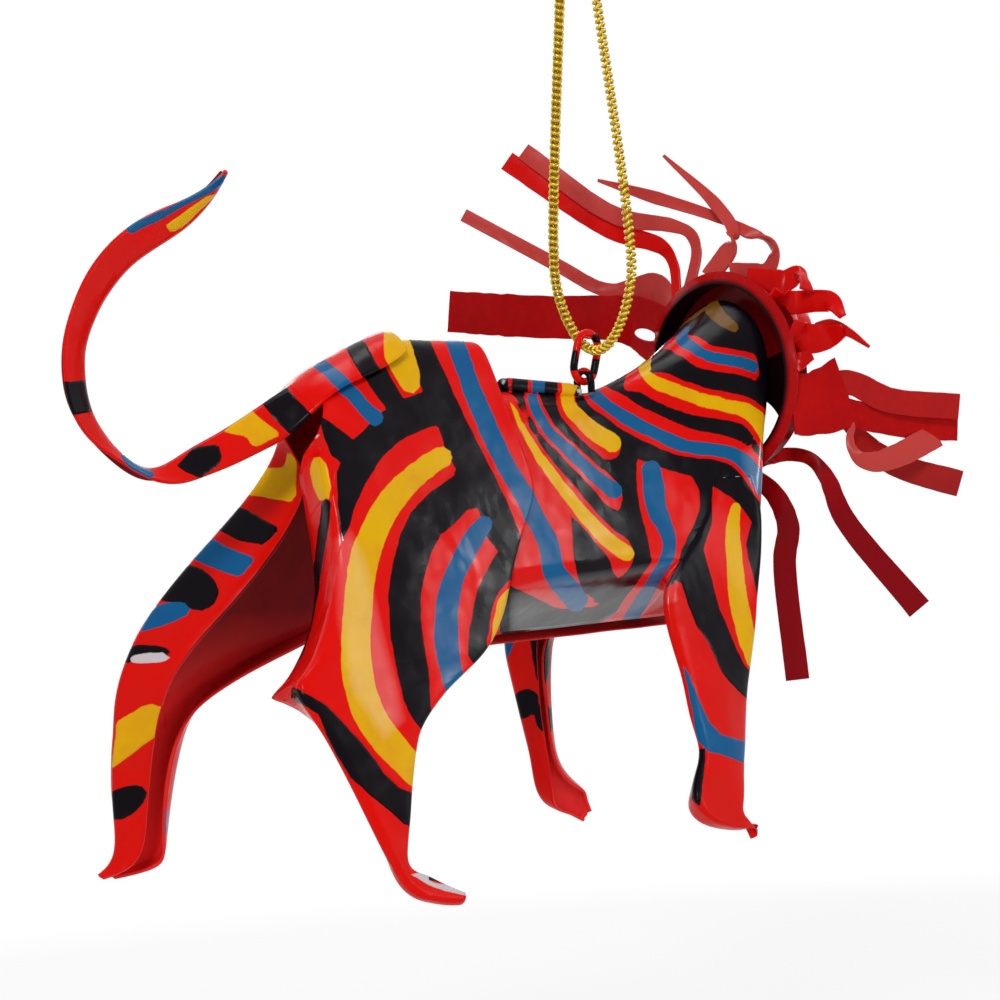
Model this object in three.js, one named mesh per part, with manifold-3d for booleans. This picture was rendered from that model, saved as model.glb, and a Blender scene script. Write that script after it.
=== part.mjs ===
// A hand-made lion ornament of folded and soldered tin sheet, hung by a metallic cord.
// Millimetres, +Z up, +X towards the lion's nose. The origin is where the cord's loop hangs.

import * as THREE from 'three';
import { mergeVertices } from 'three/addons/utils/BufferGeometryUtils.js';
import Module from 'manifold-3d';

const wasm = await Module();
wasm.setup();

// Driving dimensions

const SHEET = 0.4;           // tin sheet with its paint
const GAP = 0.3;             // clearance between pieces that are soldered or hooked together
const TAIL_EASE = 0.2;       // the tail's root stands this much further off the rump
const EYE_HEIGHT = 60;       // the wire eye's place above the feet
const HANG_DROP = 72;        // from the top of the cord's loop down to that place

const SIDE_HANG = 1.6;       // the lion hangs this far to one side of the knot

const CORD_D = 1.35;
const CORD_SPREAD = 6.9;     // half the widest distance between the two strands
const CORD_LOOP = 67.8;      // from the knot down to the bottom of the loop
const TAIL_END = 5.5;        // the cord's two ends above the knot

const RING_WIRE_D = 1.1;
const RING_WIDTH = 3.5;      // between the wire's centre lines
const RING_LENGTH = 6.2;
const RING_TILT = 18;        // degrees that the ring leans in its own plane
const EYE_WIRE_D = 1.0;
const EYE_WIDTH = 2.5;       // between the wire's centre lines
const EYE_FOOT_Z = 59.05;

const BEAD_D = 2.0;          // rolled seam on the spine
const BEAD_REAR = [-14.6, 60.4];
const BEAD_FRONT = [-2.8, EYE_FOOT_Z + 0.15];

const RIM_X = 22.8;          // rear rim of the mane's ring
const RIM_Z = 60.5;
const RIM_R = 12.2;
const RIM_DEPTH = 3.8;
const COLLAR_R = 14.2;       // the flared collar that the strips leave from
const COLLAR_LEAN = 1.0;
const ROOT_R = 13.0;
const THROAT_Z = 57.4;       // the ring is open below this height
const FACE_Z = 65.6;
const FACE_R = 8.4;
const FACE_DEPTH = 7.6;
const MUZZLE_R = 3.4;
const MUZZLE_Z = 66.6;
const MUZZLE_LENGTH = 5.2;   // in front of the dome

// Heights of the ridge above the feet, by place along the body
const HIND_RIDGE = [[-52, 58.8], [-48.1, 60.9], [-44.2, 62.9], [-39.3, 64.9], [-34.9, 66.6],
  [-32, 66.9], [-17, 66.0]];
const FORE_RIDGE = [[-24, 60.0], [-14.3, 59.7], [-3, EYE_FOOT_Z - 0.35], [1.2, EYE_FOOT_Z + 0.15],
  [4.5, 60.5], [10, 62.4], [15.9, 65.2], [19.2, 67.4], [21.8, 69.3], [24, 70.6]];

// Half width of the flanks at the eye's height, and how fast they splay below it
const FLANK = [[-45, 6.1, 0.35], [0, 3.0, 0.26], [8, 4.2, 0.22], [14, 6.6, 0.12], [21, 9.1, 0.05],
  [25, 9.2, 0.03]];

const BELLY_BEND = 37.3;     // height where the fore sheet turns under
const NEAR_KEEL = 30.8;      // height of the near side's free edge under the belly
const FAR_KEEL = 29.2;
const KEEL_SLOT = 1.4;       // between those two edges
const BELLY_BEND_R = 1.6;

// Small helpers

const V = (x, y, z) => new THREE.Vector3(x, y, z);

function lookUp(table, x, column = 1) {
  if (x <= table[0][0]) return table[0][column];
  for (let i = 1; i < table.length; i += 1) {
    if (x <= table[i][0]) {
      const t = (x - table[i - 1][0]) / (table[i][0] - table[i - 1][0]);
      return THREE.MathUtils.lerp(table[i - 1][column], table[i][column], t);
    }
  }
  return table[table.length - 1][column];
}

function catmull(a, b, c, d, t) {
  const m0 = (c - a) / 2;
  const m1 = (d - b) / 2;
  const t2 = t * t;
  const t3 = t2 * t;
  return (2 * t3 - 3 * t2 + 1) * b + (t3 - 2 * t2 + t) * m0 + (3 * t2 - 2 * t3) * c + (t3 - t2) * m1;
}

// Rows of numbers, with smooth rows put between the given ones
function smoothRows(rows, steps) {
  const out = [];
  for (let i = 0; i < rows.length - 1; i += 1) {
    const a = rows[Math.max(i - 1, 0)];
    const b = rows[i];
    const c = rows[i + 1];
    const d = rows[Math.min(i + 2, rows.length - 1)];
    for (let k = 0; k < steps; k += 1) {
      out.push(b.map((_, j) => catmull(a[j], b[j], c[j], d[j], k / steps)));
    }
  }
  out.push([...rows[rows.length - 1]]);
  return out;
}

// A closed shell from a grid of points on its outer face. Columns cross rows point outwards.
function shell(grid, thickness = SHEET) {
  const rows = grid.length;
  const cols = grid[0].length;
  const normals = grid.map((row) => row.map(() => []));
  for (let i = 0; i < rows - 1; i += 1) {
    for (let j = 0; j < cols - 1; j += 1) {
      const across = grid[i + 1][j + 1].clone().sub(grid[i][j]);
      const other = grid[i + 1][j].clone().sub(grid[i][j + 1]);
      const n = across.cross(other).normalize();
      for (const [a, b] of [[i, j], [i + 1, j], [i, j + 1], [i + 1, j + 1]]) normals[a][b].push(n);
    }
  }
  const inner = grid.map((row, i) => row.map((p, j) => {
    const mean = V(0, 0, 0);
    normals[i][j].forEach((n) => mean.add(n));
    mean.normalize();
    const share = normals[i][j].reduce((s, n) => s + n.dot(mean), 0) / normals[i][j].length;
    return p.clone().addScaledVector(mean, -thickness / Math.max(share, 0.6));
  }));
  const positions = [];
  [grid, inner].forEach((layer) => layer.flat().forEach((p) => positions.push(p.x, p.y, p.z)));
  const at = (i, j, layer) => layer * rows * cols + i * cols + j;
  const index = [];
  const quad = (a, b, c, d) => index.push(a, b, c, a, c, d);
  for (let i = 0; i < rows - 1; i += 1) {
    for (let j = 0; j < cols - 1; j += 1) {
      quad(at(i, j, 0), at(i, j + 1, 0), at(i + 1, j + 1, 0), at(i + 1, j, 0));
      quad(at(i, j, 1), at(i + 1, j, 1), at(i + 1, j + 1, 1), at(i, j + 1, 1));
    }
  }
  for (let j = 0; j < cols - 1; j += 1) {
    quad(at(0, j, 0), at(0, j, 1), at(0, j + 1, 1), at(0, j + 1, 0));
    quad(at(rows - 1, j, 0), at(rows - 1, j + 1, 0), at(rows - 1, j + 1, 1), at(rows - 1, j, 1));
  }
  for (let i = 0; i < rows - 1; i += 1) {
    quad(at(i, 0, 0), at(i + 1, 0, 0), at(i + 1, 0, 1), at(i, 0, 1));
    quad(at(i, cols - 1, 0), at(i, cols - 1, 1), at(i + 1, cols - 1, 1), at(i + 1, cols - 1, 0));
  }
  const geometry = new THREE.BufferGeometry();
  geometry.setAttribute('position', new THREE.Float32BufferAttribute(positions, 3));
  geometry.setIndex(index);
  return geometry;
}

function toSolid(geometry) {
  const bare = geometry.clone();
  bare.deleteAttribute('normal');
  bare.deleteAttribute('uv');
  const merged = mergeVertices(bare, 1e-4);
  const mesh = new wasm.Mesh({
    numProp: 3,
    vertProperties: new Float32Array(merged.attributes.position.array),
    triVerts: new Uint32Array(merged.index.array),
  });
  return new wasm.Manifold(mesh);
}

function toGeometry(solid) {
  const mesh = solid.getMesh();
  const geometry = new THREE.BufferGeometry();
  geometry.setAttribute('position', new THREE.Float32BufferAttribute(mesh.vertProperties, 3));
  geometry.setIndex([...mesh.triVerts]);
  return geometry;
}

function join(geometries) {
  return toGeometry(geometries.map(toSolid).reduce((a, b) => a.add(b)));
}

function cut(geometry, tool) {
  return toGeometry(toSolid(geometry).subtract(toSolid(tool)));
}

function circleShape(radius, sides) {
  const points = [];
  for (let k = 0; k < sides; k += 1) {
    const a = (2 * Math.PI * k) / sides;
    points.push(new THREE.Vector2(radius * Math.cos(a), radius * Math.sin(a)));
  }
  return new THREE.Shape(points);
}

function wireAlong(points, diameter, steps, sides = 8) {
  const path = new THREE.CatmullRomCurve3(points, false, 'centripetal');
  return new THREE.ExtrudeGeometry(circleShape(diameter / 2, sides), { steps, extrudePath: path });
}

// The folded body's cross-section at one place along it: a round ridge, straight splayed flanks
// and, where bend is given, a turn under the belly. Distances run from the ridge along the sheet.
function sectionAt(x, ridge, inset, bend) {
  const slope = lookUp(FLANK, x, 2);
  const top = lookUp(ridge, x);
  const lean = Math.atan(slope);
  const atTop = lookUp(FLANK, x, 1) - inset / Math.cos(lean) + (EYE_HEIGHT - top) * slope;
  const radius = atTop / (1 / Math.cos(lean) - slope);
  const arc = radius * (Math.PI / 2 - lean);
  const start = { y: radius * Math.cos(lean), z: top - radius + radius * Math.sin(lean) };
  const line = bend ? (start.z - BELLY_BEND) / Math.cos(lean) : Infinity;
  return { radius, top, lean, arc, start, line };
}

function distanceTo(section, z) {
  const fromTop = Math.max(section.top - z, 0);
  if (z >= section.start.z) return section.radius * Math.acos(1 - fromTop / section.radius);
  return section.arc + (section.start.z - z) / Math.cos(section.lean);
}

function pointOn(section, x, distance, side) {
  const { radius, top, lean, arc, start, line } = section;
  if (distance <= arc) {
    const a = distance / radius;
    return V(x, side * radius * Math.sin(a), top - radius * (1 - Math.cos(a)));
  }
  const down = Math.min(distance - arc, line);
  const y = start.y + down * Math.sin(lean);
  const z = start.z - down * Math.cos(lean);
  if (distance - arc <= line) return V(x, side * y, z);
  const keel = side < 0 ? NEAR_KEEL : FAR_KEEL;
  const turn = Math.atan2(y - KEEL_SLOT / 2, z - keel) + lean;
  const bendArc = BELLY_BEND_R * turn;
  const past = distance - arc - line;
  const a = Math.min(past, bendArc) / BELLY_BEND_R;
  const cy = y - BELLY_BEND_R * Math.cos(lean);
  const cz = z - BELLY_BEND_R * Math.sin(lean);
  const edge = V(0, cy + BELLY_BEND_R * Math.cos(a - lean), cz - BELLY_BEND_R * Math.sin(a - lean));
  const rest = Math.max(past - bendArc, 0);
  const heading = turn - lean;
  return V(x, side * (edge.y - rest * Math.sin(heading)), edge.z - rest * Math.cos(heading));
}

// A sheet folded over the ridge. Each row holds the rear edge and the front edge as a place along
// the body and a level, and for each edge a fold: its width, angle and radius.
function foldedGrid(rows, side, surface, across) {
  const foldSteps = 3;
  return rows.map(([rearX, rearL, frontX, frontL, rw, ra, rr, fw, fa, fr]) => {
    const flat = [];
    const span = surface(rearX, rearL, side).distanceTo(surface(frontX, frontL, side));
    const reach = (radius, angle) => radius * Math.sin(THREE.MathUtils.degToRad(Math.min(angle, 90))) / span;
    for (let k = 0; k <= across; k += 1) {
      const t = THREE.MathUtils.lerp(reach(rr, ra), 1 - reach(fr, fa), k / across);
      const level = THREE.MathUtils.lerp(rearL, frontL, t);
      flat.push(surface(THREE.MathUtils.lerp(rearX, frontX, t), level, side));
    }
    const fold = (edge, next, width, angle, radius) => {
      const out = edge.clone().sub(next).normalize();
      const below = surface.inward(edge, side).clone();
      below.addScaledVector(out, -below.dot(out)).normalize();
      const turn = THREE.MathUtils.degToRad(angle);
      const points = [];
      for (let k = 1; k <= foldSteps; k += 1) {
        const a = (turn * k) / foldSteps;
        points.push(edge.clone()
          .addScaledVector(out, radius * Math.sin(a))
          .addScaledVector(below, radius * (1 - Math.cos(a))));
      }
      points.push(points[foldSteps - 1].clone()
        .addScaledVector(out, width * Math.cos(turn))
        .addScaledVector(below, width * Math.sin(turn)));
      return points;
    };
    const rear = fold(flat[0], flat[1], rw, ra, rr).reverse();
    const front = fold(flat[across], flat[across - 1], fw, fa, fr);
    return [...rear, ...flat, ...front];
  });
}

// The surface that a sheet follows, as a function of place along the body, level and side. The
// level is 0 on the ridge, 1 at the height of the belly's bend, and 2 at the keel of a bent sheet.
function bodySurface(ridge, inset, bend = false) {
  const section = (x) => sectionAt(x, ridge, inset, bend);
  const keelLength = (s, side) => {
    const bottom = pointOn({ ...s, line: Infinity }, 0, distanceTo(s, BELLY_BEND), 1);
    return Math.hypot(bottom.y - KEEL_SLOT / 2, bottom.z - (side < 0 ? NEAR_KEEL : FAR_KEEL));
  };
  const surface = (x, level, side) => {
    const s = section(x);
    const whole = distanceTo(s, BELLY_BEND);
    const beyond = bend ? keelLength(s, side) : whole;
    const distance = level < 1 ? level * whole : whole + (level - 1) * beyond;
    return pointOn(s, x, distance, side);
  };
  surface.level = (x, z) => {
    const s = section(x);
    return distanceTo(s, z) / distanceTo(s, BELLY_BEND);
  };
  surface.byDistance = (x, distance, side) => pointOn(section(x), x, distance, side);
  surface.inward = (p, side) => {
    const step = 0.05;
    const s = section(p.x);
    const d = distanceTo(s, Math.min(p.z, s.top));
    const sameHeight = (x) => pointOn(section(x), x, distanceTo(section(x), p.z), side);
    const along = sameHeight(p.x + step).sub(sameHeight(p.x - step));
    const down = pointOn(s, p.x, d + step, side).sub(pointOn(s, p.x, Math.max(d - step, 0), side));
    return along.cross(down).multiplyScalar(-side).normalize();
  };
  return surface;
}

// Rows given by heights become rows given by levels
function byLevel(surface, rows) {
  return rows.map(([rx, rz, fx, fz, ...folds]) => [
    rx, surface.level(rx, rz), fx, surface.level(fx, fz), ...folds,
  ]);
}

// Outlines of the hind sheet as [rear x, rear z, front x, front z, then width, angle and radius of
// the rear edge's fold and of the front edge's]

const NEAR_RUMP = [
  [-46.2, 61.9, -20.3, 66.1, 0.4, 12, 0.8, 0.3, 8, 0.8],
  [-46.4, 60.4, -20.1, 64.8, 0.4, 12, 0.8, 0.3, 8, 0.8],
  [-48.8, 56.4, -19.4, 60.0, 1.2, 50, 0.9, 0.3, 8, 0.8],
  [-50.7, 52.8, -18.4, 54.0, 4.6, 98, 1.0, 0.3, 8, 0.8],
  [-50.9, 48.6, -17.6, 48.0, 6.6, 108, 1.2, 0.3, 8, 0.8],
  [-51.8, 43.6, -20.8, 44.0, 6.2, 109, 1.4, 0.3, 8, 0.8],
  [-53.4, 39.0, -25.4, 38.4, 5.8, 109, 1.4, 0.4, 12, 0.8],
  [-56.4, 34.2, -29.0, 33.0, 6.0, 107, 1.4, 0.8, 40, 0.8],
  [-59.9, 30.6, -33.0, 29.6, 6.4, 104, 1.2, 1.2, 70, 0.8],
  [-62.4, 28.9, -38.6, 27.0, 6.4, 99, 1.0, 2.0, 105, 0.8],
  [-62.6, 26.9, -43.6, 24.6, 4.4, 124, 0.9, 2.6, 130, 0.8],
  [-60.7, 22.8, -47.6, 21.4, 4.0, 144, 0.8, 2.6, 146, 0.8],
];
const NEAR_SHANK = [
  [-59.2, 18.0, -50.0, 17.0, 3.4, 148, 0.8, 2.4, 148, 0.8],
  [-57.6, 11.4, -52.8, 11.4, 2.0, 146, 0.7, 1.4, 146, 0.7],
  [-56.4, 7.6, -54.3, 8.2, 1.2, 120, 0.6, 0.6, 115, 0.6],
  [-55.2, 5.2, -53.2, 6.9, 0.9, 105, 0.6, 0.5, 95, 0.6],
  [-52.2, 3.6, -50.6, 5.6, 0.7, 95, 0.6, 0.5, 90, 0.6],
  [-48.0, 2.9, -47.6, 4.1, 0.5, 80, 0.6, 0.4, 80, 0.6],
];
const FAR_RUMP = [
  [-46.2, 61.9, -20.3, 66.1, 0.4, 12, 0.8, 0.3, 8, 0.8],
  [-46.0, 60.4, -20.1, 64.8, 0.4, 12, 0.8, 0.3, 8, 0.8],
  [-44.6, 56.6, -19.4, 60.0, 2.4, 70, 0.9, 0.3, 8, 0.8],
  [-45.2, 52.8, -18.4, 54.0, 5.6, 102, 1.0, 0.3, 8, 0.8],
  [-48.4, 48.4, -17.6, 48.0, 6.8, 108, 1.2, 0.3, 8, 0.8],
  [-53.4, 43.6, -20.8, 44.0, 7.6, 108, 1.4, 0.3, 8, 0.8],
  [-57.6, 39.0, -25.4, 39.4, 7.5, 108, 1.4, 0.4, 12, 0.8],
  [-61.2, 34.4, -29.0, 35.4, 6.8, 109, 1.4, 0.8, 40, 0.8],
  [-62.6, 30.2, -34.0, 32.2, 5.8, 114, 1.2, 1.2, 80, 0.8],
  [-63.0, 27.0, -43.0, 29.2, 5.2, 124, 1.0, 2.2, 115, 0.8],
  [-62.9, 24.0, -50.2, 25.2, 4.4, 138, 0.9, 2.6, 140, 0.8],
];
const FAR_SHANK = [
  [-62.2, 19.0, -52.2, 19.8, 3.9, 146, 0.9, 2.6, 148, 0.8],
  [-61.1, 13.6, -52.4, 13.6, 3.5, 146, 0.8, 2.2, 146, 0.8],
  [-60.0, 9.8, -52.2, 9.4, 3.0, 138, 0.8, 2.2, 138, 0.8],
  [-59.7, 7.3, -52.4, 6.2, 2.4, 124, 0.8, 1.8, 126, 0.8],
  [-60.3, 5.8, -55.2, 5.0, 1.5, 112, 0.7, 1.1, 115, 0.7],
  [-61.4, 4.9, -59.2, 4.3, 0.7, 100, 0.5, 0.5, 100, 0.5],
];

// Outlines of the fore sheet and of its legs, in the same order

const TORSO = [
  [-24.0, 60.0, 23.2, 70.2, 0.4, 12, 0.8, 0.4, 12, 0.8],
  [-24.0, 59.0, 23.2, 68.4, 0.4, 12, 0.8, 0.4, 12, 0.8],
  [-24.0, 57.0, 23.2, 65.0, 0.4, 12, 0.8, 0.4, 12, 0.8],
  [-24.0, 54.0, 23.0, 60.6, 0.4, 12, 0.8, 0.4, 12, 0.8],
  [-24.0, 50.0, 22.4, 56.6, 0.4, 12, 0.8, 0.4, 12, 0.8],
  [-24.0, 46.4, 21.9, 52.6, 0.4, 12, 0.8, 0.6, 60, 1.0],
  [-24.0, 42.8, 21.6, 48.0, 0.4, 12, 0.8, 3.0, 94, 1.4],
  [-24.0, 39.8, 20.8, 43.0, 0.4, 12, 0.8, 4.2, 100, 1.6],
  [-24.0, BELLY_BEND + 0.4, 19.0, BELLY_BEND + 0.6, 0.4, 12, 0.8, 4.2, 102, 1.6],
];
const NEAR_FORE_LEG = [
  [13.8, 47.4, 18.6, 47.4, 0.4, 16, 0.7, 0.4, 16, 0.7],
  [11.4, 42.8, 20.2, 42.8, 0.8, 60, 0.8, 0.8, 60, 0.8],
  [6.4, BELLY_BEND + 0.7, 19.8, BELLY_BEND + 0.7, 2.4, 105, 0.8, 2.0, 100, 0.8],
  [2.4, NEAR_KEEL + 3.2, 18.8, NEAR_KEEL + 3.2, 4.0, 138, 0.8, 3.4, 130, 0.8],
  [1.8, NEAR_KEEL - 1.8, 17.4, NEAR_KEEL - 2.4, 4.8, 150, 0.8, 4.4, 150, 0.8],
  [2.4, 24.0, 15.8, 23.6, 4.4, 151, 0.8, 4.0, 151, 0.8],
  [2.3, 18.6, 13.9, 18.6, 3.8, 151, 0.8, 3.6, 151, 0.8],
  [2.6, 14.4, 11.9, 14.2, 2.8, 150, 0.7, 2.8, 150, 0.7],
  [0.5, 11.4, 10.1, 10.8, 3.0, 142, 0.7, 2.6, 142, 0.7],
  [-0.8, 8.4, 8.5, 7.8, 2.8, 126, 0.7, 2.0, 126, 0.7],
  [1.2, 6.2, 7.8, 6.4, 2.0, 105, 0.7, 1.2, 110, 0.7],
  [5.0, 4.6, 8.4, 5.2, 1.0, 95, 0.6, 0.7, 100, 0.6],
  [10.2, 3.1, 10.6, 3.8, 0.4, 80, 0.6, 0.4, 80, 0.6],
];
const FAR_FORE_LEG = [
  [6.0, 47.4, 13.0, 47.4, 0.4, 16, 0.7, 0.4, 16, 0.7],
  [1.6, 42.6, 12.2, 42.6, 0.8, 60, 0.8, 0.8, 60, 0.8],
  [-3.0, BELLY_BEND + 0.7, 8.6, BELLY_BEND + 0.7, 2.2, 105, 0.8, 2.0, 95, 0.8],
  [-6.0, FAR_KEEL + 4.4, 3.4, FAR_KEEL + 4.4, 3.2, 138, 0.8, 3.0, 130, 0.8],
  [-7.0, FAR_KEEL - 1.0, 0.4, FAR_KEEL - 1.0, 3.4, 150, 0.8, 2.8, 150, 0.8],
  [-3.8, 20.6, 1.6, 20.0, 2.4, 148, 0.7, 1.9, 148, 0.7],
  [-0.9, 13.4, 3.3, 13.4, 1.7, 146, 0.7, 1.4, 146, 0.7],
  [0.8, 8.6, 5.8, 10.2, 1.8, 130, 0.7, 1.4, 130, 0.7],
  [3.2, 6.2, 8.4, 8.2, 1.2, 100, 0.6, 0.8, 105, 0.6],
  [6.4, 5.0, 9.2, 6.6, 0.7, 90, 0.6, 0.5, 90, 0.6],
  [9.0, 3.8, 9.8, 5.0, 0.4, 75, 0.6, 0.4, 75, 0.6],
];

// Strips cut from the mane: widths from root to tip, evenly spaced, then the way the face looks at
// the tip, degrees round the ring from the top, then the bends
const BACK = [-0.67, -0.74, 0];
const MANE_STRIPS = [
  [[8.2, 5.8, 5.6, 5.5], BACK, 63,
    [22.6, 15, 68.4], [19.5, 19, 69.2], [15.5, 22.5, 69.5], [9.5, 26.5, 70.2], [4, 30.5, 71]],
  [[5.6, 5, 1.9, 1.8, 1.8], BACK, 52,
    [25.3, 13.2, 72], [23.7, 16.7, 72.4], [21.7, 19.9, 73.1], [18.9, 24.4, 76.3], [11.4, 34.8, 84.1]],
  [[1.7, 1.6, 2.4, 2.6, 2.6], BACK, 36,
    [24, 8.4, 75.5], [22.7, 9.1, 77.8], [19.1, 13.3, 80], [16.4, 16.8, 82.9], [10.4, 24.5, 90.4]],
  [[2, 1.6, 1.5, 2.3, 2.3], BACK, 23,
    [24.9, 4.9, 77.1], [24.4, 5.4, 79.3], [23.1, 7.1, 80.4], [18.6, 12.9, 82.2], [11.7, 22.6, 91.5]],
  [[2.8, 3.2, 1.6, 1.7, 0.4], [0.7, 0.5, -0.5], 6,
    [25.5, -0.3, 76.7], [26.2, -0.7, 79.2], [25.8, 1.6, 82.6], [25.4, 10.2, 89.7]],
  [[3.2, 2.3, 2.2, 1.2, 1.7, 0.4], [0.75, 0.63, -0.1], -11,
    [26.9, -5.7, 73.7], [27.7, -6.3, 76.3], [27.7, -1.6, 78.9], [27.1, 2.5, 81], [20.7, 10.3, 84.9],
    [17, 14.3, 86.9]],
  [[3.6, 2.8, 1.3, 2.2], [0, -0.8, 0.6], -26,
    [27.5, -8.3, 72.1], [28.2, -10.3, 73.1], [27.3, -12.2, 71.9], [26.7, -13, 70.7]],
  [[3.6, 3, 2.8, 1], BACK, -44,
    [26.8, -9.7, 69.2], [28.1, -12.9, 69.2], [28.2, -15.7, 68.8], [27.5, -17.9, 67.1]],
  [[4.6, 4, 3.2, 1.6], BACK, -70, [26.2, -13, 64.4], [27.8, -14.8, 64.5], [28.2, -17.2, 65.1]],
  [[2.6, 1.2], BACK, -86, [25.2, -14.6, 62.3]],
  [[7.6, 8, 8.4, 9.4], BACK, -110, [26.6, -13.8, 56.2], [29.8, -16, 57.3]],
  [[2.3, 1.8, 1.8, 2.6, 3.2], BACK, -167,
    [29.1, -3.6, 49.7], [31.4, -7, 49.2], [32.3, -9.2, 46.7], [33.7, -10.7, 41.2], [40.3, -16.9, 28.9]],
  [[2.6, 2.4, 3, 3], BACK, 176,
    [26.4, -1, 47.2], [28.6, -3.2, 44.8], [29.8, -4.4, 40.5], [29, -4.2, 36], [29.6, -4.8, 20.5]],
  [[3.6, 3.2], BACK, 154, [28, 7.6, 46], [30, 10.5, 42.5], [29.5, 12, 37], [30.5, 13, 31]],
  [[3.6, 3], BACK, 131, [27, 13, 49.4], [30, 16.5, 47.8], [33, 20, 48], [36.5, 24, 46.5]],
  [[4.4, 3.6], BACK, 105, [25.5, 16, 55.4], [24, 20, 54], [21.5, 24.5, 54], [19, 28.5, 52.5]],
];

// Strips that the broad panel at the near side splits into past its fold, and one claw: the same
// without the place on the ring
const SPLIT_STRIPS = [
  [[3.4, 3.2, 3.2, 3.3], BACK,
    [28.5, -14.7, 58.5], [30.4, -16.5, 58.4], [33.7, -19.3, 56.1], [41.4, -24.5, 54.7]],
  [[3.6, 3.6, 3.3, 3.3], BACK,
    [28.1, -14.3, 55.5], [30.9, -16.4, 54.4], [38.2, -20.6, 52.4], [42.5, -23.1, 52]],
  [[0.9, 0.9, 1.3, 2.6, 3.2, 3.2], BACK,
    [29.6, -15.8, 55.1], [30, -16.3, 53.1], [29.6, -16.2, 51.5], [29.5, -16.6, 50.1], [30, -17.5, 48.8],
    [31.7, -18.7, 48.3], [34.6, -19.9, 49], [37.7, -20.8, 50.2], [40.2, -21.6, 51.3]],
  [[1.4, 2.4, 3.2, 3.4], BACK,
    [29, -15, 55.2], [31.8, -15.4, 52], [35.3, -15.9, 49.2], [38, -17.8, 47.2], [43.2, -22.4, 44.8]],
  [[1.8, 2.2, 1.2, 0.4], BACK,
    [27.6, -13.2, 65.5], [28.4, -14.9, 65.7], [28.6, -17.6, 65], [28.3, -21.3, 63]],
];

// The slot that shows where the broadest strip leaves the collar: its middle and half axes
const SLOT_AT = [24.4, 14, 66.9];
const SLOT_SIZE = [1.8, 3, 0.9];
const SLOT_PITCH = 0.35;     // radians
const SLOT_YAW = -0.73;

const METAL = { roughness: 0.3, metalness: 0.2 };
const COLOURS = {
  hind: 0xc31208, fore: 0xd21a0c, tail: 0xb81810, mane: 0x9c1012, face: 0xa8140f,
  wire: 0x301010, ring: 0x8f0f0a, cord: 0xc9a227,
};

function mesh(name, geometry, color, roughness = METAL.roughness, metalness = METAL.metalness) {
  const clean = geometry.index ? geometry.toNonIndexed() : geometry;
  clean.computeVertexNormals();
  const part = new THREE.Mesh(clean, new THREE.MeshStandardMaterial({ color, roughness, metalness }));
  part.name = name;
  return part;
}

function overTheRidge(nearRows, farRows, surface, across) {
  const near = foldedGrid(nearRows.slice(1).reverse(), -1, surface, across);
  const far = foldedGrid(farRows, 1, surface, across);
  return [...near, ...far];
}

function hindBody() {
  const surface = bodySurface(HIND_RIDGE, 0);
  const near = smoothRows(byLevel(surface, [...NEAR_RUMP, ...NEAR_SHANK]), 2);
  const far = smoothRows(byLevel(surface, [...FAR_RUMP, ...FAR_SHANK]), 2);
  return shell(overTheRidge(near, far, surface, 6));
}

function spineBead() {
  const rear = V(BEAD_REAR[0], 0, BEAD_REAR[1]);
  const front = V(BEAD_FRONT[0], 0, BEAD_FRONT[1]);
  const bead = new THREE.CapsuleGeometry(BEAD_D / 2, rear.distanceTo(front), 4, 12);
  const turn = new THREE.Quaternion().setFromUnitVectors(V(0, 1, 0), front.clone().sub(rear).normalize());
  const middle = rear.clone().add(front).multiplyScalar(0.5);
  return bead.applyQuaternion(turn).translate(middle.x, middle.y, middle.z);
}

function foreBody() {
  const torsoSurface = bodySurface(FORE_RIDGE, SHEET + GAP, true);
  const rows = byLevel(torsoSurface, TORSO);
  const last = rows[rows.length - 1];
  const keel = [last[0], 2, 16.0, 2, ...last.slice(4, 7), 0.3, 20, 0.8];
  const half = [...smoothRows(rows, 2), ...smoothRows([last, keel], 3).slice(1)];
  const torso = shell(overTheRidge(half, half, torsoSurface, 10));
  const legSurface = bodySurface(FORE_RIDGE, SHEET + GAP - 0.2);
  const legs = [[NEAR_FORE_LEG, -1], [FAR_FORE_LEG, 1]].map(([outline, side]) => {
    const leg = smoothRows(byLevel(legSurface, outline), 2);
    const grid = foldedGrid(side < 0 ? leg.reverse() : leg, side, legSurface, 4);
    return shell(grid);
  });
  return join([torso, ...legs, spineBead()]);
}

// The tail's root lies over the rump's ridge. From there it narrows to a strip folded like a roof:
// [x, z of its fold, width of the near side, width of the far side, angle of both below level]
const TAIL_ROOT = [[-33.4, 5.4], [-36, 6.4], [-40, 6.6], [-44, 6.4], [-47.2, 6.2]];
const TAIL_FOLD = [
  [-52.5, 59.4, 4.5, 4.4, 56], [-57.8, 57.0, 3.8, 3.4, 62], [-62.9, 55.0, 3.2, 2.6, 64],
  [-66.3, 53.4, 2.4, 1.7, 56], [-69.0, 52.9, 1.5, 1.0, 34], [-72.1, 54.4, 1.4, 0.8, 34],
  [-75.1, 57.6, 2.4, 1.2, 62], [-76.4, 60.4, 3.3, 1.8, 68], [-76.8, 63.4, 3.8, 2.1, 68],
  [-76.5, 66.7, 4.0, 2.2, 68], [-74.9, 69.9, 4.3, 2.4, 68], [-73.0, 72.5, 4.4, 2.5, 68],
  [-70.0, 75.4, 4.2, 2.4, 68], [-66.3, 77.4, 4.0, 2.3, 68], [-61.6, 79.8, 3.2, 1.9, 66],
  [-57.5, 83.2, 1.6, 1.0, 60], [-55.3, 85.9, 0.4, 0.3, 45],
];
const TAIL_FOLD_R = 0.45;

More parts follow.
